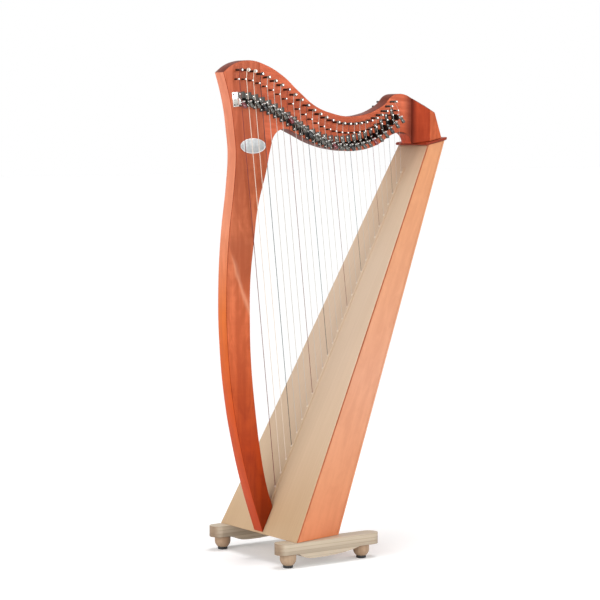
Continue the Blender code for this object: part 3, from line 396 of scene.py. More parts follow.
# %% Metal finishes
def metal(name, shade, roughness, brush=(700.0, 700.0, 700.0)):
    finish = Finish(name, Metallic=1.0)
    place = finish.place()
    smears = finish.noise(place, (220.0, 220.0, 220.0), 3.0)
    lines = finish.noise(place, brush, 2.0)
    dull = [0.84 * c for c in shade]
    finish.give({"Base Color": finish.mixed(finish.step(smears, 0.3, 0.8), shade, dull),
                 "Roughness": roughness + 0.10 * smears + 0.04 * lines,
                 "Normal": finish.bump(lines, 0.00001)})
    return finish


nickel = metal("nickel", (0.80, 0.79, 0.76), 0.16)
# Painted shade: bracket plates after the first take this dark metal
steel = metal("steel", (0.070, 0.066, 0.060), 0.24)
# Painted shade: the pins are plated all over, but their shafts take this dark metal
pin_shade_metal = metal("pin_shade_metal", (0.09, 0.07, 0.06), 0.30)
badge_metal = metal("badge_metal", (0.385, 0.395, 0.40), 0.38, (40.0, 900.0, 1500.0))
badge_rim = metal("badge_rim", (0.62, 0.62, 0.62), 0.25)
print("finishes", len(bpy.data.materials))


# %% Plastic, rubber and string finishes
def plain(name, shade, roughness, depth=0.00001, scale=900.0, **constants):
    """Moulded or drawn stuff: one colour with a faint cloud and a fine surface."""
    finish = Finish(name, **constants)
    place = finish.place()
    cloud = finish.noise(place, (scale * 0.08,) * 3, 2.0)
    grain = finish.noise(place, (scale,) * 3, 2.0)
    pale = [min(1.0, 1.25 * c + 0.004) for c in shade]
    finish.give({"Base Color": finish.mixed(cloud, shade, pale),
                 "Roughness": roughness + 0.10 * grain,
                 "Normal": finish.bump(grain, depth)})
    return finish


handle_red = plain("handle_red", (0.13, 0.006, 0.012), 0.22, Coat_Weight=0.4)
handle_black = plain("handle_black", (0.012, 0.012, 0.013), 0.25)
handle_grey = plain("handle_grey", (0.050, 0.046, 0.036), 0.20, Coat_Weight=0.4)
rubber = plain("rubber", (0.012, 0.012, 0.012), 0.60, 0.00006, 1500.0)
eyelet_bone = plain("eyelet_bone", (0.62, 0.520, 0.420), 0.35, 0.00002)
string_pale = plain("string_pale", (0.66, 0.560, 0.470), 0.30, scale=1500.0)
string_clear = plain("string_clear", (0.46, 0.410, 0.370), 0.30, scale=1500.0)
# Painted shade: the clear strings' windings on the pins take this dark colour
string_coil = plain("string_coil", (0.17, 0.120, 0.090), 0.30, scale=1500.0)
string_red = plain("string_red", (0.14, 0.012, 0.010), 0.32, scale=1500.0)
string_black = plain("string_black", (0.020, 0.022, 0.030), 0.32, scale=1500.0)
print("finishes", len(bpy.data.materials))

# %% [markdown]
# ## Helpers for pieces
# Every piece is a mesh object that takes a finish, moves with one body of the model and
# stands in for the plain solid there. Small edges catch the light on real wood, so a copy
# of a plain solid is welded, its flat faces are joined again, and a Bevel modifier rounds
# what is left sharp. Edges over SHARP degrees stay sharp in the shading.

# %% Put a piece in the scene
SHARP = 35


def piece(name, mesh, finishes, slot, stands_for=(), body="harp"):
    for finish in finishes:
        mesh.materials.append(finish.material)
    item = placed(name, mesh)
    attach(item, body)
    if stands_for:
        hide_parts(*stands_for)
    return item


def finished_mesh(bm, name, angle=SHARP):
    bmesh.ops.recalc_face_normals(bm, faces=bm.faces)
    mesh = bpy.data.meshes.new(name)
    bm.to_mesh(mesh)
    bm.free()
    mesh.shade_smooth()
    mesh.set_sharp_from_angle(angle=math.radians(angle))
    return mesh


print("edges stay sharp over", SHARP, "degrees")


# %% Give faces another finish
def painted(mesh, index):
    for polygon in mesh.polygons:
        polygon.material_index = index
    return mesh


def paint_facing(mesh, axis, least, index):
    """Gives the faces that look along an axis another of the piece's finishes. The least
    cosine to the axis says how far they may look aside."""
    for polygon in mesh.polygons:
        if polygon.normal.dot(Vector(axis)) > least:
            polygon.material_index = index


print("a cosine of 0.6 is", round(math.degrees(math.acos(0.6))), "degrees")

# %% Copy a plain solid and round its edges
WELD, FLAT = 0.000002, math.radians(1)


def copied_mesh(node, facing, angle=SHARP):
    """Plain solid as a clean mesh. The rows of facing, each an axis and a least cosine, take
    the piece's second finish and the ones after it."""
    bm = bmesh.new()
    bm.from_mesh(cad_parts[node].data)
    bmesh.ops.remove_doubles(bm, verts=bm.verts, dist=WELD)
    bmesh.ops.dissolve_limit(bm, angle_limit=FLAT, verts=bm.verts, edges=bm.edges)
    mesh = finished_mesh(bm, node, angle)
    for index, (axis, least) in enumerate(facing, 1):
        paint_facing(mesh, axis, least, index)
    return mesh


def rounded_copy(node, finishes, width, slot, facing=()):
    mesh = copied_mesh(node, facing)
    item = piece(node + "_rounded", mesh, finishes, slot, [node])
    rounding = item.modifiers.new("rounded edges", "BEVEL")
    rounding.width = width
    rounding.segments = 3
    rounding.limit_method = "ANGLE"
    rounding.angle_limit = math.radians(SHARP)
    rounding.harden_normals = True


print("corners within", WELD, "m are welded")


# %% Turn a profile on a lathe
def mm(*points):
    """Points measured in millimetres."""
    return [(x / 1000, y / 1000) for x, y in points]


def turned(name, profile, steps=48):
    """Mesh from a profile of radius and height, turned about Z."""
    bm = bmesh.new()
    verts = [bm.verts.new((radius, 0, height)) for radius, height in profile]
    edges = [bm.edges.new(pair) for pair in zip(verts, verts[1:])]
    bmesh.ops.spin(bm, geom=verts + edges, cent=(0, 0, 0), axis=(0, 0, 1),
                   angle=math.tau, steps=steps, use_merge=True)
    bmesh.ops.remove_doubles(bm, verts=bm.verts, dist=WELD)
    return finished_mesh(bm, name)


def arc(centre, radius, first, last, steps):
    """Points on an arc, with angles in degrees from the first axis."""
    angles = [math.radians(first + (last - first) * i / steps) for i in range(steps + 1)]
    return [(centre[0] + radius * math.cos(a), centre[1] + radius * math.sin(a))
            for a in angles]


print("quarter arc", arc((0, 0), 1.0, 0, 90, 2))


# %% Cut a shape out of a plank
def mesh_of(curve):
    """Mesh of a curve, with its thickness and rounding."""
    item = placed(curve.name, curve)
    bpy.context.view_layer.update()
    graph = bpy.context.evaluated_depsgraph_get()
    mesh = bpy.data.meshes.new_from_object(item.evaluated_get(graph))
    bpy.data.objects.remove(item)
    return mesh


def curved(points):
    return [(x, y, "AUTO") for x, y in points]


def cornered(points):
    return [(x, y, "VECTOR") for x, y in points]


def outline_mesh(name, loops, half, rounding, turn):
    """Flat outline extruded both ways with rounded edges. Its loops are made of curved and
    cornered points."""
    curve = bpy.data.curves.new(name, "CURVE")
    curve.dimensions = "2D"
    curve.fill_mode = "BOTH"
    curve.extrude = half - rounding
    curve.bevel_depth = rounding
    curve.bevel_resolution = 3
    curve.offset = -rounding
    curve.resolution_u = 10
    for loop in loops:
        spline = curve.splines.new("BEZIER")
        spline.bezier_points.add(len(loop) - 1)
        spline.use_cyclic_u = True
        for point, (x, y, handles) in zip(spline.bezier_points, loop):
            point.co = (x, y, 0)
            point.handle_left_type = point.handle_right_type = handles
    bm = bmesh.new()
    bm.from_mesh(mesh_of(curve))
    bmesh.ops.remove_doubles(bm, verts=bm.verts, dist=WELD)
    bmesh.ops.transform(bm, matrix=turn, verts=bm.verts)
    return finished_mesh(bm, name)


def joined(name, copies):
    """One mesh that holds each mesh at its place."""
    bm = bmesh.new()
    for mesh, where in copies:
        before = len(bm.verts)
        bm.from_mesh(mesh)
        bm.verts.ensure_lookup_table()
        bmesh.ops.transform(bm, matrix=where, verts=bm.verts[before:])
    return finished_mesh(bm, name)


def upright(x=0.0, z=0.0):
    """Turns a flat outline into a side view and moves it."""
    return Matrix.Translation((x, 0, z)) @ Matrix.Rotation(math.radians(90), 4, "X")


print("up turns to", upright() @ Vector((0, 1, 0)))

# %% [markdown]
# ## Where the strings run
# Everything on the neck hangs on the strings: each crosses the neck at its own place and
# slant, and its pin, bridge pin and lever stand there. Both rows get closer together
# towards the treble by a small even step, so two short formulas give all 27 strings.

# %% Sizes shared with the model
# Side views are measured from the soundboard's foot. GAP is the air that keeps pieces apart.
DATUM_X, SEAT_Z, GAP = -0.1999, 0.0557, 0.0003
NECK_HALF, STRINGS = 0.0175, 27
UP_BOARD = Vector((math.sin(BOARD_LEAN), 0, math.cos(BOARD_LEAN)))
INTO_BOX = Vector(BOARD_FACE)
ACROSS = Vector((0, 1, 0))
# Down from tuning pin to bridge pin, and out from the neck to the string and its winding
BRIDGE_DROP, STANDOFF, WINDING_OUT = 0.0200, 0.0140, 0.0195
GROOVE_RADIUS, GROOVE_AIR = 0.0014, 0.0006
TUNING_RADIUS, STRIP_THICK = 0.0025, 0.0028
THICKEST, THINNEST = 0.00075, 0.00030
# Side view of the curve on which the tuning pins stand
TUNING_LINE = mm(
    (-69.5, 1022.5), (-33.5, 1020.7), (15.5, 1003.2), (55.5, 982.6), (90.5, 960.2),
    (125.5, 936.9), (175.5, 914.2), (221.5, 906), (267.5, 909.2), (295.5, 917.2),
    (323, 931.7), (349.5, 953.2))


def side_place(x, height):
    return Vector((DATUM_X + x, 0, SEAT_Z + height))


def on_board(along, depth):
    return side_place(0, 0) + UP_BOARD * along + INTO_BOX * depth


print("soundboard leans", round(math.degrees(BOARD_LEAN), 2), "degrees")

# %% Formulas of the string rows
# First place, pitch between the first two strings, and what the pitch loses at each string
FOOT_ROW = (0.1105, 0.0330, 0.000245)
TOP_ROW = (-0.0666, 0.0181, 0.000118)
SHIFT_BASS, SHIFT_TREBLE = -0.0010, 0.0136


def series(first, pitch, step, number):
    return first + pitch * number - step * number * (number - 1) / 2


def smooth_height(line, x):
    """Height at x of a smooth line through points."""
    spot = 0
    while spot < len(line) - 2 and x > line[spot + 1][0]:
        spot += 1
    before, start, end = line[max(spot - 1, 0)], line[spot], line[spot + 1]
    after = line[min(spot + 2, len(line) - 1)]
    run = end[0] - start[0]
    slope_in = (end[1] - before[1]) / (end[0] - before[0]) * run
    slope_out = (after[1] - start[1]) / (after[0] - start[0]) * run
    t = (x - start[0]) / run
    ease = t * t * (3 - 2 * t)
    return (start[1] + (end[1] - start[1]) * ease + slope_in * t * (1 - t) ** 2
            - slope_out * t * t * (1 - t))


def share(number):
    return number / (STRINGS - 1)


def graded(bass, treble, number):
    """Size that changes evenly from the first string to the last."""
    return bass + (treble - bass) * share(number)


def string_radius(number):
    return graded(THICKEST, THINNEST, number)


def string_foot(number):
    return on_board(series(*FOOT_ROW, number), -GAP - STRIP_THICK)


def pin_shift(number):
    """How far the tuning pin stands left of where its string crosses the bridge pin."""
    return SHIFT_BASS + SHIFT_TREBLE * share(number) ** 5


def string_top(number):
    x = series(*TOP_ROW, number)
    height = smooth_height(TUNING_LINE, x - pin_shift(number)) - BRIDGE_DROP
    return side_place(x, height) - ACROSS * (NECK_HALF + STANDOFF)


def string_lean(number):
    run = string_foot(number) - string_top(number)
    return math.atan2(run.x, -run.z)


def tuning_centre(number):
    top = string_top(number)
    return Vector((top.x - pin_shift(number), -NECK_HALF, top.z + BRIDGE_DROP))


def bridge_centre(number):
    offset = GROOVE_RADIUS + string_radius(number) + GROOVE_AIR
    top = string_top(number)
    return Vector((top.x - offset * math.cos(string_lean(number)), -NECK_HALF, top.z))


def string_end(number):
    """Where the string meets the side of its tuning pin."""
    run = tuning_centre(number) - string_top(number)
    aside = Vector((-run.z, 0, run.x)).normalized()
    end = tuning_centre(number) + aside * (TUNING_RADIUS + string_radius(number) + GAP)
    return Vector((end.x, -NECK_HALF - WINDING_OUT, end.z))


print("longest string", round((string_top(0) - string_foot(0)).length, 3), "m")

# %% [markdown]
# ## Column and neck
# On the real harp the column and the neck are two planks with the same thickness, glued
# end to end, and their edges are rounded in one pass after glueing. So both are drawn here
# as one outline with a rounded edge, and a plane then cuts it at the joint. The seam stays
# crisp and the rounding runs through it.

# %% Outline of column and neck
FRONT = mm(
    (-87, 978), (-78.5, 941.7), (-71.2, 890), (-67, 843.7), (-72.2, 768), (-85, 668),
    (-92.3, 535), (-89.5, 423), (-77.2, 305), (-59.5, 210.7), (-31.2, 101.7))
BACK = mm(
    (14.1, 101.7), (-1.8, 174.4), (-17.6, 282.3), (-28.1, 388.7), (-30.8, 483.7),
    (-29, 568.7), (-21, 638.7), (-8.5, 726.7), (13, 803), (24.5, 852.7), (34.5, 880.7),
    (51.5, 893.2), (66.5, 894.5), (89.5, 885.7), (143.5, 862.2), (203.5, 847.9),
    (257.5, 845.7), (311.5, 856.7), (363.5, 883.2), (388, 886.5), (403.5, 879))
TOP = mm(
    (-99, 1017), (-81.1, 1030.3), (-59.8, 1039.6), (-28.5, 1043.7), (8.1, 1035.6),
    (56.2, 1011.9), (100.6, 976.9), (145.5, 945.2), (191.5, 929.2), (236.5, 922.7),
    (289.5, 929.2), (316.5, 939), (339.5, 952), (358.5, 969.5), (376.5, 974), (396.5, 972))
SHOULDER = mm((412.5, 860.9), (483, 873.4), (452.5, 944), (415.5, 963.7))


def board_foot(along):
    """Place on the side view of a point on the soundboard, with the clearance."""
    return along * math.sin(BOARD_LEAN) - GAP, along * math.cos(BOARD_LEAN)


print("outline", len(FRONT) + len(BACK) + len(TOP), "points on curves")

# %% The plank, cut at its joint
EDGE_ROUND, FOOT_ENDS = 0.0015, (0.0045, 0.0645)
JOINT_TOP, JOINT_FOOT = mm((-5.5, 1040), (13, 803))

loop = cornered(TOP[:1]) + curved(FRONT) + cornered(board_foot(end) for end in FOOT_ENDS)
loop += curved(BACK) + cornered(SHOULDER) + curved(TOP[:0:-1])
plank = outline_mesh("plank", [loop], NECK_HALF, EDGE_ROUND, upright(DATUM_X, SEAT_Z))


def one_side(name, mesh, point, normal):
    """What lies behind a plane, closed at the cut."""
    bm = bmesh.new()
    bm.from_mesh(mesh)
    everything = bm.verts[:] + bm.edges[:] + bm.faces[:]
    bmesh.ops.bisect_plane(bm, geom=everything, plane_co=point, plane_no=normal,
                           clear_outer=True)
    bmesh.ops.holes_fill(bm, edges=[edge for edge in bm.edges if edge.is_boundary])
    return finished_mesh(bm, name)


joint = side_place(*JOINT_FOOT)
across_joint = (side_place(*JOINT_TOP) - joint).cross(ACROSS).normalized()
if across_joint.x < 0:
    across_joint = -across_joint
column = one_side("column", plank, joint, across_joint)
neck = one_side("neck", plank, joint + 1.5 * GAP * across_joint, -across_joint)
# Painted light on faces that look left, painted shade on tops, undersides and arris
for mesh, axis, least, index in (
        (column, (-1, 0, 0), 0.6, 1), (column, (0, 0, 1), 0.6, 2),
        (column, (-0.616, -0.788, 0), 0.90, 3), (column, (-0.616, 0.788, 0), 0.90, 3),
        (neck, (0, 0, 1), 0.6, 1), (neck, (-0.6, 0, -0.8), 0.6, 1),
        (neck, (-0.93, 0, -0.37), 0.80, 2)):
    paint_facing(mesh, axis, least, index)
piece("column_plank", column, [column_wood, lit_front_wood, edges_in_shade, arris_shade],
      "stained_wood", ["column"])
piece("neck_plank", neck, [neck_wood, edges_in_shade, lit_fold_wood], "stained_wood", ["neck"])
print("column and neck", len(column.polygons), len(neck.polygons), "faces")

# %% [markdown]
# ## The shoulder
# Two cheeks widen the neck to the top of the soundbox, and a dark plate lies under them.
# The packed solids have the right facets, so they are copied. Weighted normals keep their
# large faces flat to the eye while the narrow facets between them shade as round edges.
# A core between the cheeks closes the groove that the neck's rounded edge would leave.

# %% Shoulder
def softened_copy(node, finishes, slot, facing=()):
    mesh = copied_mesh(node, facing, 50)
    item = piece(node + "_soft", mesh, finishes, slot, [node])
    item.modifiers.new("flat faces", "WEIGHTED_NORMAL").keep_sharp = True


softened_copy("shoulder_plate", [plate_wood], "plate_wood")
# The cheeks' fronts take painted shade, and so do their tops
for hand in ("near", "far"):
    softened_copy("shoulder_cheek_" + hand, [shoulder_wood, cheek_front_shade, edges_in_shade],
                  "stained_wood", [((-1, 0, 0), 0.5), ((0, 0, 1), 0.6)])
CORE_SIDE = mm((414, 861.2), (482.8, 873.3), (452.3, 943.6), (415.5, 963.4))
core = outline_mesh("core", [cornered(CORE_SIDE)], NECK_HALF + GAP, GAP,
                    upright(DATUM_X, SEAT_Z))
piece("shoulder_core", core, [neck_wood], "stained_wood")
print("shoulder core", len(core.polygons), "faces")

# %% [markdown]
# ## The soundbox
# The box is a thin soundboard glued to two deep sides and a back with four oval holes,
# with blocks at both ends and a bar across the back. They are copied with each arris
# rounded by about a millimetre. Without that the edges would look cut from paper.

# %% Soundbox
rounded_copy("soundboard", [stained_edge, spruce], 0.0006, "spruce",
             [([-side for side in BOARD_FACE], 0.9)])
for finish, width, slot, nodes in (
        (inner_wood, 0.0006, "beech", ("string_rib", "top_block", "bottom_block")),
        (box_wood, 0.0010, "box_wood", ("soundbox_side_near", "soundbox_side_far")),
        (box_wood, 0.0012, "box_wood", ("soundbox_back",)),
        (inner_wood, 0.0020, "spruce", ("soundbox_brace",))):
    for node in nodes:
        rounded_copy(node, [finish], width, slot)
    print("rounded by", width, "m:", *nodes)

# %% [markdown]
# ## The base
# Two rails carry the box across its width. Each stands on two turned feet with rubber pads,
# so that the harp doesn't slip or hum on the floor. A foot is the lower half of a ball that
# stays wide up to its rail. It could be carved from a sphere, but turned parts come most
# simply from a profile spun round an axis, just as on a lathe.

# %% Rails, feet and screws
PAD_TOP, PAD_RADIUS = 0.0060, 0.0110
BALL_RADIUS, BALL_TOP, FOOT_ROUND = 0.0180, 0.0303, 0.0020
FEET_X = {"front": -0.2084, "back": -0.0110}
FEET_Y = {"near": -0.1306, "far": 0.1306}

pad_profile = mm(
    (0, 0), (10, 0), (10.8, 0.5), (11, 1.3), (11, 2.6), (10.7, 3), (11, 3.4), (11, 5),
    (10.5, 5.8), (9.6, 6.2), (0, 6.2))
ball_centre = PAD_TOP + GAP + math.sqrt(BALL_RADIUS ** 2 - (PAD_RADIUS + GAP) ** 2)
lowest = math.degrees(math.asin((PAD_TOP + GAP - ball_centre) / BALL_RADIUS))
ball_profile = [(0, PAD_TOP + GAP)] + arc((0, ball_centre), BALL_RADIUS, lowest, 0, 14)
ball_profile += arc((BALL_RADIUS - FOOT_ROUND, BALL_TOP - FOOT_ROUND), FOOT_ROUND, 0, 90, 5)
ball_profile += [(0, BALL_TOP)]
for hand, y in FEET_Y.items():
    rounded_copy("base_rail_" + hand, [rail_wood], 0.0022, "beech")
    for end, x in FEET_X.items():
        name = end + "_" + hand
        for kind, profile, finish, slot in (("rubber_pad_", pad_profile, rubber, "rubber"),
                                            ("ball_foot_", ball_profile, foot_wood, "beech")):
            mesh = turned(kind + name, profile)
            mesh.transform(Matrix.Translation((x, y, 0)))
            piece(kind + name + "_turned", mesh, [finish], slot, [kind + name])
        # The screws keep their plain shape, out of sight under the rails
        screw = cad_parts["base_screw_" + name].data
        screw.materials.clear()
        screw.materials.append(nickel.material)
print("feet", len(FEET_X) * len(FEET_Y))

# %% [markdown]
# ## The badge
# An oval plate sits near the top of the column. It is left bare here. A low rim round a
# flat field shows how such a plate is pressed.

# %% Badge plate
BADGE_CENTRE, BADGE_LENGTH, BADGE_HEIGHT = (-0.0230, 0.8581), 0.0655, 0.0332
BADGE_THICK, RIM_WIDTH, FIELD_INSET = 0.0015, 0.0018, 0.0006


def ring(across, up, count):
    """Smooth closed outline with its half widths across and up."""
    turns = [math.tau * i / count for i in range(count)]
    return curved((across * math.cos(a), up * math.sin(a)) for a in turns)


def oval(inset=0.0):
    return ring(BADGE_LENGTH / 2 - inset, BADGE_HEIGHT / 2 - inset, 24)


badge_place = Matrix.Translation((0, -NECK_HALF - GAP - BADGE_THICK / 2, 0)) @ upright(
    DATUM_X + BADGE_CENTRE[0], SEAT_Z + BADGE_CENTRE[1])
field = outline_mesh("field", [oval(FIELD_INSET)], 0.00040, 0.0002, badge_place)
rim = outline_mesh("rim", [oval(), oval(RIM_WIDTH)], BADGE_THICK / 2, 0.0004, badge_place)
badge = joined("badge", [(field, Matrix()), (painted(rim, 1), Matrix())])
piece("badge_oval", badge, [badge_metal, badge_rim], "nickel", ["badge_plate"])
print("badge", len(badge.polygons), "faces")

# %% [markdown]
# ## Pins
# A tuning pin is a steel rod that goes right through the neck. The string is wound round its
# near end, and the square on its far end takes the tuning key. Under it, a grooved
# bridge pin guides the string. The rows are copies of one turned shape, and the
# pins of the four red strings are pieces of their own because they turn in the model.

# %% Shapes of the pins
OUTWARD = Matrix.Rotation(math.radians(90), 4, "X")
FAR_SHOULDER, PIN_TIP, PIN_END = -0.0390, 0.0250, -0.0510
SQUARE_HALF, SQUARE_LAP = 0.0021, 0.0010

shaft = turned("shaft", [(0, PIN_TIP), (0.0016, PIN_TIP), (0.0022, 0.0245), (0.0025, 0.0236),
                         (0.0025, -0.0385), (0.0021, FAR_SHOULDER), (0, FAR_SHOULDER)], 24)


def block_mesh(name, low, high, rounding):
    """Block between two corners with rounded edges."""
    bm = bmesh.new()
    bmesh.ops.create_cube(bm, size=1.0)
    low, high = Vector(low), Vector(high)
    where = Matrix.Translation((low + high) / 2) @ Matrix.Diagonal((*(high - low), 1))
    bmesh.ops.transform(bm, matrix=where, verts=bm.verts)
    bmesh.ops.bevel(bm, geom=bm.edges[:], offset=rounding, segments=3, profile=0.5,
                    affect="EDGES")
    return finished_mesh(bm, name)


square = block_mesh("square", (-SQUARE_HALF, -SQUARE_HALF, PIN_END),
                    (SQUARE_HALF, SQUARE_HALF, FAR_SHOULDER + SQUARE_LAP), 0.0004)
tuning_pin = joined("tuning_pin", [(shaft, OUTWARD), (square, OUTWARD)])
# Painted shade: only faces that look out to the player keep nickel, the rest is dark
paint_facing(tuning_pin, (0, -1, 0), 0.35, 1)
bridge_pin = turned("bridge_pin", mm(
    (0, 17.5), (1.2, 17.4), (1.8, 17.1), (2.1, 16.5), (2, 15.9), (1.5, 15), (1.4, 14),
    (1.5, 12.8), (1.9, 12), (1.9, 0), (0, 0)), 20)
# Painted shade: only the bridge pin's outer end keeps nickel, the rest is dark
paint_facing(bridge_pin, (0, 0, 1), 0.25, 1)
print("pin faces", len(tuning_pin.polygons), len(bridge_pin.polygons))

# %% Rows of pins
OCTAVE, RED_STEP, BLACK_STEP = 7, 0, 3
RED = [n for n in range(STRINGS) if n % OCTAVE == RED_STEP]
BLACK = [n for n in range(STRINGS) if n % OCTAVE == BLACK_STEP]
THICK_STRINGS = 3
CLEAR = [n for n in range(STRINGS) if n not in RED and n not in BLACK]
PALE = [n for n in CLEAR if n < THICK_STRINGS]
THIN = [n for n in CLEAR if n >= THICK_STRINGS]


def pin_node(number):
    return "tuning_pin_%02d" % (number + 1)


def row_of(name, mesh, numbers, centre, turn=Matrix()):
    return joined(name, [(mesh, Matrix.Translation(centre(n)) @ turn) for n in numbers])


PLATED = ([pin_shade_metal, nickel], "nickel")

fixed = row_of("fixed_pins", tuning_pin, BLACK + CLEAR, tuning_centre)
piece("tuning_pins_fixed", fixed, *PLATED)
for node, number in zip(map(pin_node, RED), RED):
    mesh = row_of(node, tuning_pin, [number], tuning_centre)
    piece(node + "_turned", mesh, *PLATED, [node], node)
bridges = row_of("bridge_pins", bridge_pin, range(STRINGS), bridge_centre, OUTWARD)
piece("bridge_pins", bridges, *PLATED)
print("turning pins", [n + 1 for n in RED])

# %% [markdown]
# ## Strings
# Each string rises from a knot inside the box through an eyelet in the middle strip, over
# its bridge pin and round its tuning pin. Tubes are swept along these points by curves,
# because a curve keeps an even thickness round the bends. Winding and string join where
# the string meets the side of the pin.

# %% Tubes along points
def tube(name, points, radius, round_steps=3):
    curve = bpy.data.curves.new(name, "CURVE")
    curve.dimensions = "3D"
    curve.bevel_depth = radius
    curve.bevel_resolution = round_steps
    curve.use_fill_caps = True
    spline = curve.splines.new("POLY")
    spline.points.add(len(points) - 1)
    for spot, point in zip(spline.points, points):
        spot.co = (*point, 1)
    return mesh_of(curve)


INNER_DEPTH = 0.0145


def string_points(number):
    foot = string_foot(number)
    depth = INTO_BOX * (INNER_DEPTH + GAP + STRIP_THICK)
    return [foot + depth, foot, string_top(number), string_end(number)]


def string_tube(number):
    return tube("string", string_points(number), string_radius(number)), Matrix()


print("points of a string", len(string_points(0)))

# %% Windings on the tuning pins
WINDING_ROOM, MOST_TURNS, TURN_STEPS = 0.0036, 4, 20


def winding(number):
    """Coil round a tuning pin, from where the string meets it out towards the tip, and the
    end that goes through the pin."""
    radius = string_radius(number)
    turns = min(MOST_TURNS, WINDING_ROOM / (2 * radius))
    centre, start = tuning_centre(number), string_end(number)
    first = math.atan2(start.z - centre.z, start.x - centre.x)
    reach = TUNING_RADIUS + radius
    points = []
    for i in range(round(turns * TURN_STEPS) + 1):
        turn = i / TURN_STEPS
        angle = first - math.tau * turn
        out = NECK_HALF + WINDING_OUT + 2 * radius * turn
        points.append(centre + Vector((reach * math.cos(angle), 0, reach * math.sin(angle))))
        points[-1].y = -out
    last = points[-1]
    through = Vector((2 * centre.x - last.x, last.y, 2 * centre.z - last.z))
    return tube("winding", points + [through], radius, 2), Matrix()


print("most turns", MOST_TURNS)


# %% Strings in their colours
def tubes(name, made, numbers, finish, body="harp", stands_for=()):
    """One piece of the strings or windings with these numbers."""
    mesh = joined(name, [made(n) for n in numbers])
    piece(name, mesh, [finish], "string_natural", stands_for, body)


tubes("strings_clear", string_tube, THIN, string_clear, stands_for=["strings"])
tubes("strings_pale", string_tube, PALE, string_pale)
tubes("strings_red", string_tube, RED, string_red)
tubes("strings_black", string_tube, BLACK, string_black)
# Painted shade: the clear windings take the dark coil colour
tubes("string_coils_clear", winding, THIN, string_coil)
tubes("string_coils_pale", winding, PALE, string_pale)
tubes("string_coils_black", winding, BLACK, string_black)
for number in RED:
    tubes("string_coil_%02d" % (number + 1), winding, [number], string_red, pin_node(number))
print("strings", len(CLEAR) + len(RED) + len(BLACK))

# %% Strip, eyelets and knots
FOOT_FRAME = Matrix((UP_BOARD, ACROSS, -INTO_BOX)).transposed().to_4x4()
STRIP_LOW, STRIP_HALF, STRIP_MARGIN = 0.0765, 0.0050, 0.0120
STRIP_SUNK, STRIP_ROUND = 0.0014, 0.0013

strip_high = series(*FOOT_ROW, STRINGS - 1) + STRIP_MARGIN
strip_loop = cornered([(STRIP_LOW, -STRIP_HALF), (strip_high, -STRIP_HALF),
                       (strip_high, STRIP_HALF), (STRIP_LOW, STRIP_HALF)])
strip_deep = GAP + STRIP_THICK + STRIP_SUNK
strip_middle = Matrix.Translation(on_board(0, STRIP_SUNK - strip_deep / 2)) @ FOOT_FRAME
strip = outline_mesh("strip", [strip_loop], strip_deep / 2, STRIP_ROUND, strip_middle)
piece("string_strip", strip, [strip_wood], "spruce")

eyelet = turned("eyelet", mm((1, 0), (1, 0.8), (1.3, 1.1), (2, 1), (2.5, 0.5), (2.6, 0)), 24)
eyelets = row_of("eyelets", eyelet, range(STRINGS), string_foot, FOOT_FRAME)
piece("string_eyelets", eyelets, [eyelet_bone], "string_natural")

KNOT_RADIUS, KNOT_FLAT = 0.0019, 0.7
knot_profile = [(x, KNOT_FLAT * z) for x, z in arc((0, 0), KNOT_RADIUS, -90, 90, 8)]
knots = row_of("knots", turned("knot", knot_profile, 16), range(STRINGS),
               lambda n: string_points(n)[0], FOOT_FRAME)
piece("string_knots", knots, [string_clear], "string_natural")
print("strip", round(strip_high - STRIP_LOW, 4), "m long")

# %% [markdown]
# ## Sharping levers
# Beside each string a bracket is screwed to the neck. A fret crosses behind the string, and
# a lever turns on a pin under it. Flipped up, its cam presses the string against the fret
# and raises it by half a tone. The bracket and lever are drawn once, in a frame that
# leans with the string, and set 27 times. Instances of them would be lighter, but here each
# plate is as wide as its pitch allows and, in the bass, reaches under its string.

# %% Frame of a lever
LEVER_PIVOT = Matrix.Translation((0, -0.0172, -0.0065))
FRET_DROP, PLATE_AIR = (0.0430, 0.0088), 0.0004


def lever_frame(number):
    """Where the string crosses its fret, with Z along the string."""
    lean, drop = string_lean(number), graded(*FRET_DROP, number)
    top = string_top(number)
    fret = Vector((top.x + drop * math.tan(lean), -NECK_HALF, top.z - drop))
    return Matrix.Translation(fret) @ Matrix.Rotation(-lean, 4, "Y")


def plate_left(number):
    pitch = string_top(number + 1).x - string_top(number).x
    return PLATE_AIR - pitch * math.cos(string_lean(number))


print("first string leans", round(math.degrees(string_lean(0)), 1), "degrees")

# %% Bracket
PLATE_LOW, PLATE_HIGH, PLATE_OUT = -0.0155, 0.0160, -0.0018
FIRST_PLATE_LEFT, BASS_PLATE_RIGHT, TREBLE_PLATE_RIGHT = -0.0150, 0.0001, -0.0060
EAR_LEFT, EAR_HALF, SCREW_HEIGHTS = -0.0078, 0.0008, (-0.0112, 0.0112)
SIDEWAYS = Matrix(((0, 0, 1, 0), (-1, 0, 0, 0), (0, 1, 0, 0), (0, 0, 0, 1)))
ROD = Matrix.Rotation(math.radians(90), 4, "Y")

ear_loop = cornered(mm(
    (-2, 2), (16, 2), (19.5, -1), (20, -7), (18, -10.5), (14, -11.5), (6, -11.5), (-2, -11.5)))
ear = outline_mesh("ear", [ear_loop], EAR_HALF, 0.0003,
                   Matrix.Translation((EAR_LEFT + EAR_HALF, 0, 0)) @ SIDEWAYS)
fret = block_mesh("fret", (-0.0069, -0.0112, -0.0010), (0.0030, -0.0092, 0.0010), 0.0005)
pivot = turned("pivot", mm(
    (0, 4.2), (0.9, 4.1), (1.8, 3.6), (1.8, 3.3), (1.1, 3.2), (1.1, -6.9), (0, -6.9)), 20)
screw_head = turned("screw_head", mm(
    (0, 0.2), (0.6, 0.2), (0.6, 0.9), (1.3, 0.8), (1.8, 0.3), (1.9, 0)), 20)


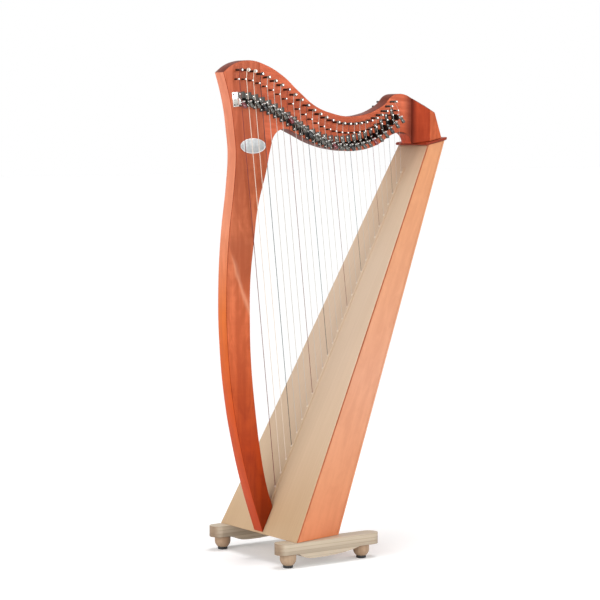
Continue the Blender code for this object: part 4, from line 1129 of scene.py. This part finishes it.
def bracket(number):
    # In the bass the plates have the room to reach right under their strings
    left = FIRST_PLATE_LEFT if number == 0 else plate_left(number)
    right = graded(BASS_PLATE_RIGHT, TREBLE_PLATE_RIGHT, number)
    plate = block_mesh("plate", (left, PLATE_OUT, PLATE_LOW), (right, -GAP, PLATE_HIGH),
                       0.0004)
    # Only the first plate keeps bright nickel; the rest take dark metal as painted shade
    plate_in_shade, screws = (0, 1) if number == 0 else (1, 0)
    parts = [(painted(plate, plate_in_shade), Matrix()), (painted(ear, plate_in_shade), Matrix()),
             (fret, Matrix()), (pivot, LEVER_PIVOT @ ROD)]
    # The screws stand in the middle between the plate's left edge and its ear
    for height in SCREW_HEIGHTS:
        where = Matrix.Translation(((left + EAR_LEFT) / 2, PLATE_OUT, height)) @ OUTWARD
        parts.append((painted(screw_head, screws), where))
    return joined("bracket", parts), lever_frame(number)


brackets = joined("brackets", [bracket(n) for n in range(STRINGS)])
piece("lever_brackets", brackets, [nickel, steel], "nickel")
print("brackets", len(brackets.polygons), "faces")

# %% Lever
LEVER_HALF, HUB_RADIUS, BORE_RADIUS = 0.0035, 0.0032, 0.0013
LEVER_LENGTH, LEVER_NECK, LEVER_TIP = 0.0160, 0.0036, 0.0056
CAM_REACH, CAM_RADIUS, CAM_HALF = 0.0057, 0.0015, 0.0026
LEVER_TILT, CAM_ANGLE, NECK_END = 35.0, 108.9, 0.55


def from_hub(radius, angle, aside=0.0):
    """Point at an angle counted from straight down towards the player."""
    a = math.radians(angle)
    return (math.sin(a) * radius + math.cos(a) * aside,
            -math.cos(a) * radius + math.sin(a) * aside)


def handle_outline():
    """Thin neck that widens to a round tip, and the hub behind it."""
    thin, tip = LEVER_NECK / 2, LEVER_LENGTH - LEVER_TIP / 2
    run = [(HUB_RADIUS, -thin), (NECK_END * tip, -thin)]
    run += arc((tip, 0), LEVER_TIP / 2, -90, 90, 6)
    run += [(NECK_END * tip, thin), (HUB_RADIUS, thin)]
    hub = [from_hub(HUB_RADIUS, angle) for angle in (90, 125, 165, 210, 255, 300, 340)]
    return curved([from_hub(out, LEVER_TILT, aside) for out, aside in run] + hub)


handle = outline_mesh("handle", [handle_outline(), ring(BORE_RADIUS, BORE_RADIUS, 12)],
                      LEVER_HALF, 0.0008, SIDEWAYS)
# Drawn with corners, so that no curve bulges out towards the string
cam_loop = cornered(from_hub(out, CAM_ANGLE, aside) for out, aside in (
    (CAM_RADIUS, -CAM_RADIUS), (CAM_REACH, -CAM_RADIUS), (CAM_REACH + CAM_RADIUS, 0.0),
    (CAM_REACH, CAM_RADIUS), (CAM_RADIUS, CAM_RADIUS)))
cam = outline_mesh("cam", [cam_loop], CAM_HALF, 0.0005, SIDEWAYS)
washer = turned("washer", mm((1.3, 3.8), (2.4, 3.8), (2.7, 3.5), (2.7, 3), (1.3, 3)), 20)
washers = [(painted(washer, 1), ROD), (washer, ROD @ Matrix.Rotation(math.pi, 4, "X"))]
lever = joined("lever", [(handle, Matrix()), (painted(cam, 1), Matrix())] + washers)
for numbers, finish, slot in ((RED, handle_red, "lever_red"),
                              (BLACK, handle_black, "lever_black"),
                              (CLEAR, handle_grey, "lever_grey")):
    for number in numbers:
        node = "lever_%02d" % (number + 1)
        mesh = joined(node, [(lever, lever_frame(number) @ LEVER_PIVOT)])
        piece(node + "_handle", mesh, [finish, nickel], slot, [node], node)
print("levers", STRINGS)

# %% [markdown]
# ## Floor and light
# The harp stands on a white floor in front of white. More light would whiten the floor but
# burn out the wood too. So three wide, soft suns and an even sky add up to about the light
# at which a colour renders as it is written, and the floor glows a little for the camera.
# It glows most near the harp, and only just enough to be white further off, which leaves
# the strings clear against it. Two suns are low, on the left and in front. The third is
# nearly overhead and leans from behind, so that the base keeps a soft shadow under and
# in front of it.

# %% Floor
FLOOR_HALF, NEAR, FAR = 30.0, 1.0, 2.2
NEAR_GLOW, FAR_GLOW = (0.24,) * 3, (0.09,) * 3
WHITE, DULL_WHITE = (0.84,) * 3, (0.83,) * 3


def seen_directly(nodes):
    """1 for what the camera sees, straight, in a mirror or through glass."""
    rays = [nodes.node("LightPath", {}, {}, "Is %s Ray" % kind)
            for kind in ("Camera", "Glossy", "Transmission")]
    return (rays[0] + rays[1] + rays[2]).math("MINIMUM", 1.0)


white = Finish("floor_white", Roughness=1.0, Specular_IOR_Level=0.0)
faint = white.noise(white.place(), (0.4, 0.4, 0.4), 1.0)
away = white.node("VectorMath", {"operation": "LENGTH"}, {0: white.place()}, "Value")
glow = white.mixed(white.step(away, NEAR, FAR), NEAR_GLOW, FAR_GLOW)
white.give({"Base Color": white.mixed(faint, WHITE, DULL_WHITE),
            "Emission Color": white.mixed(seen_directly(white), (0, 0, 0), glow),
            "Emission Strength": 1.0})
bm = bmesh.new()
bmesh.ops.create_grid(bm, x_segments=8, y_segments=8, size=FLOOR_HALF)
floor = placed("floor", finished_mesh(bm, "floor"))
floor.data.materials.append(white.material)
print("floor", floor.dimensions[:2])

# %% Sky and suns
SKY_LEVEL = 0.25
SUNS = (("sun_left", (74, 0, -75), 2.47, 60), ("sun_front", (74, 0, 15), 1.63, 50),
        ("sun_top", (8, 0, 100), 1.60, 26))

world = bpy.data.worlds.new("sky")
bpy.context.scene.world = world
world.use_nodes = True
sky = Nodes(world.node_tree)
sky.feed(sky.tree.nodes["Background"], {
    "Color": (1, 1, 1, 1), "Strength": seen_directly(sky) * (1 - SKY_LEVEL) + SKY_LEVEL})

for name, turn, strength, width in SUNS:
    light = bpy.data.lights.new(name, "SUN")
    light.energy = strength
    light.angle = math.radians(width)
    placed(name, light).rotation_euler = [math.radians(angle) for angle in turn]
bpy.context.scene.view_settings.view_transform = "Standard"
print("suns", len(SUNS))

# %% [markdown]
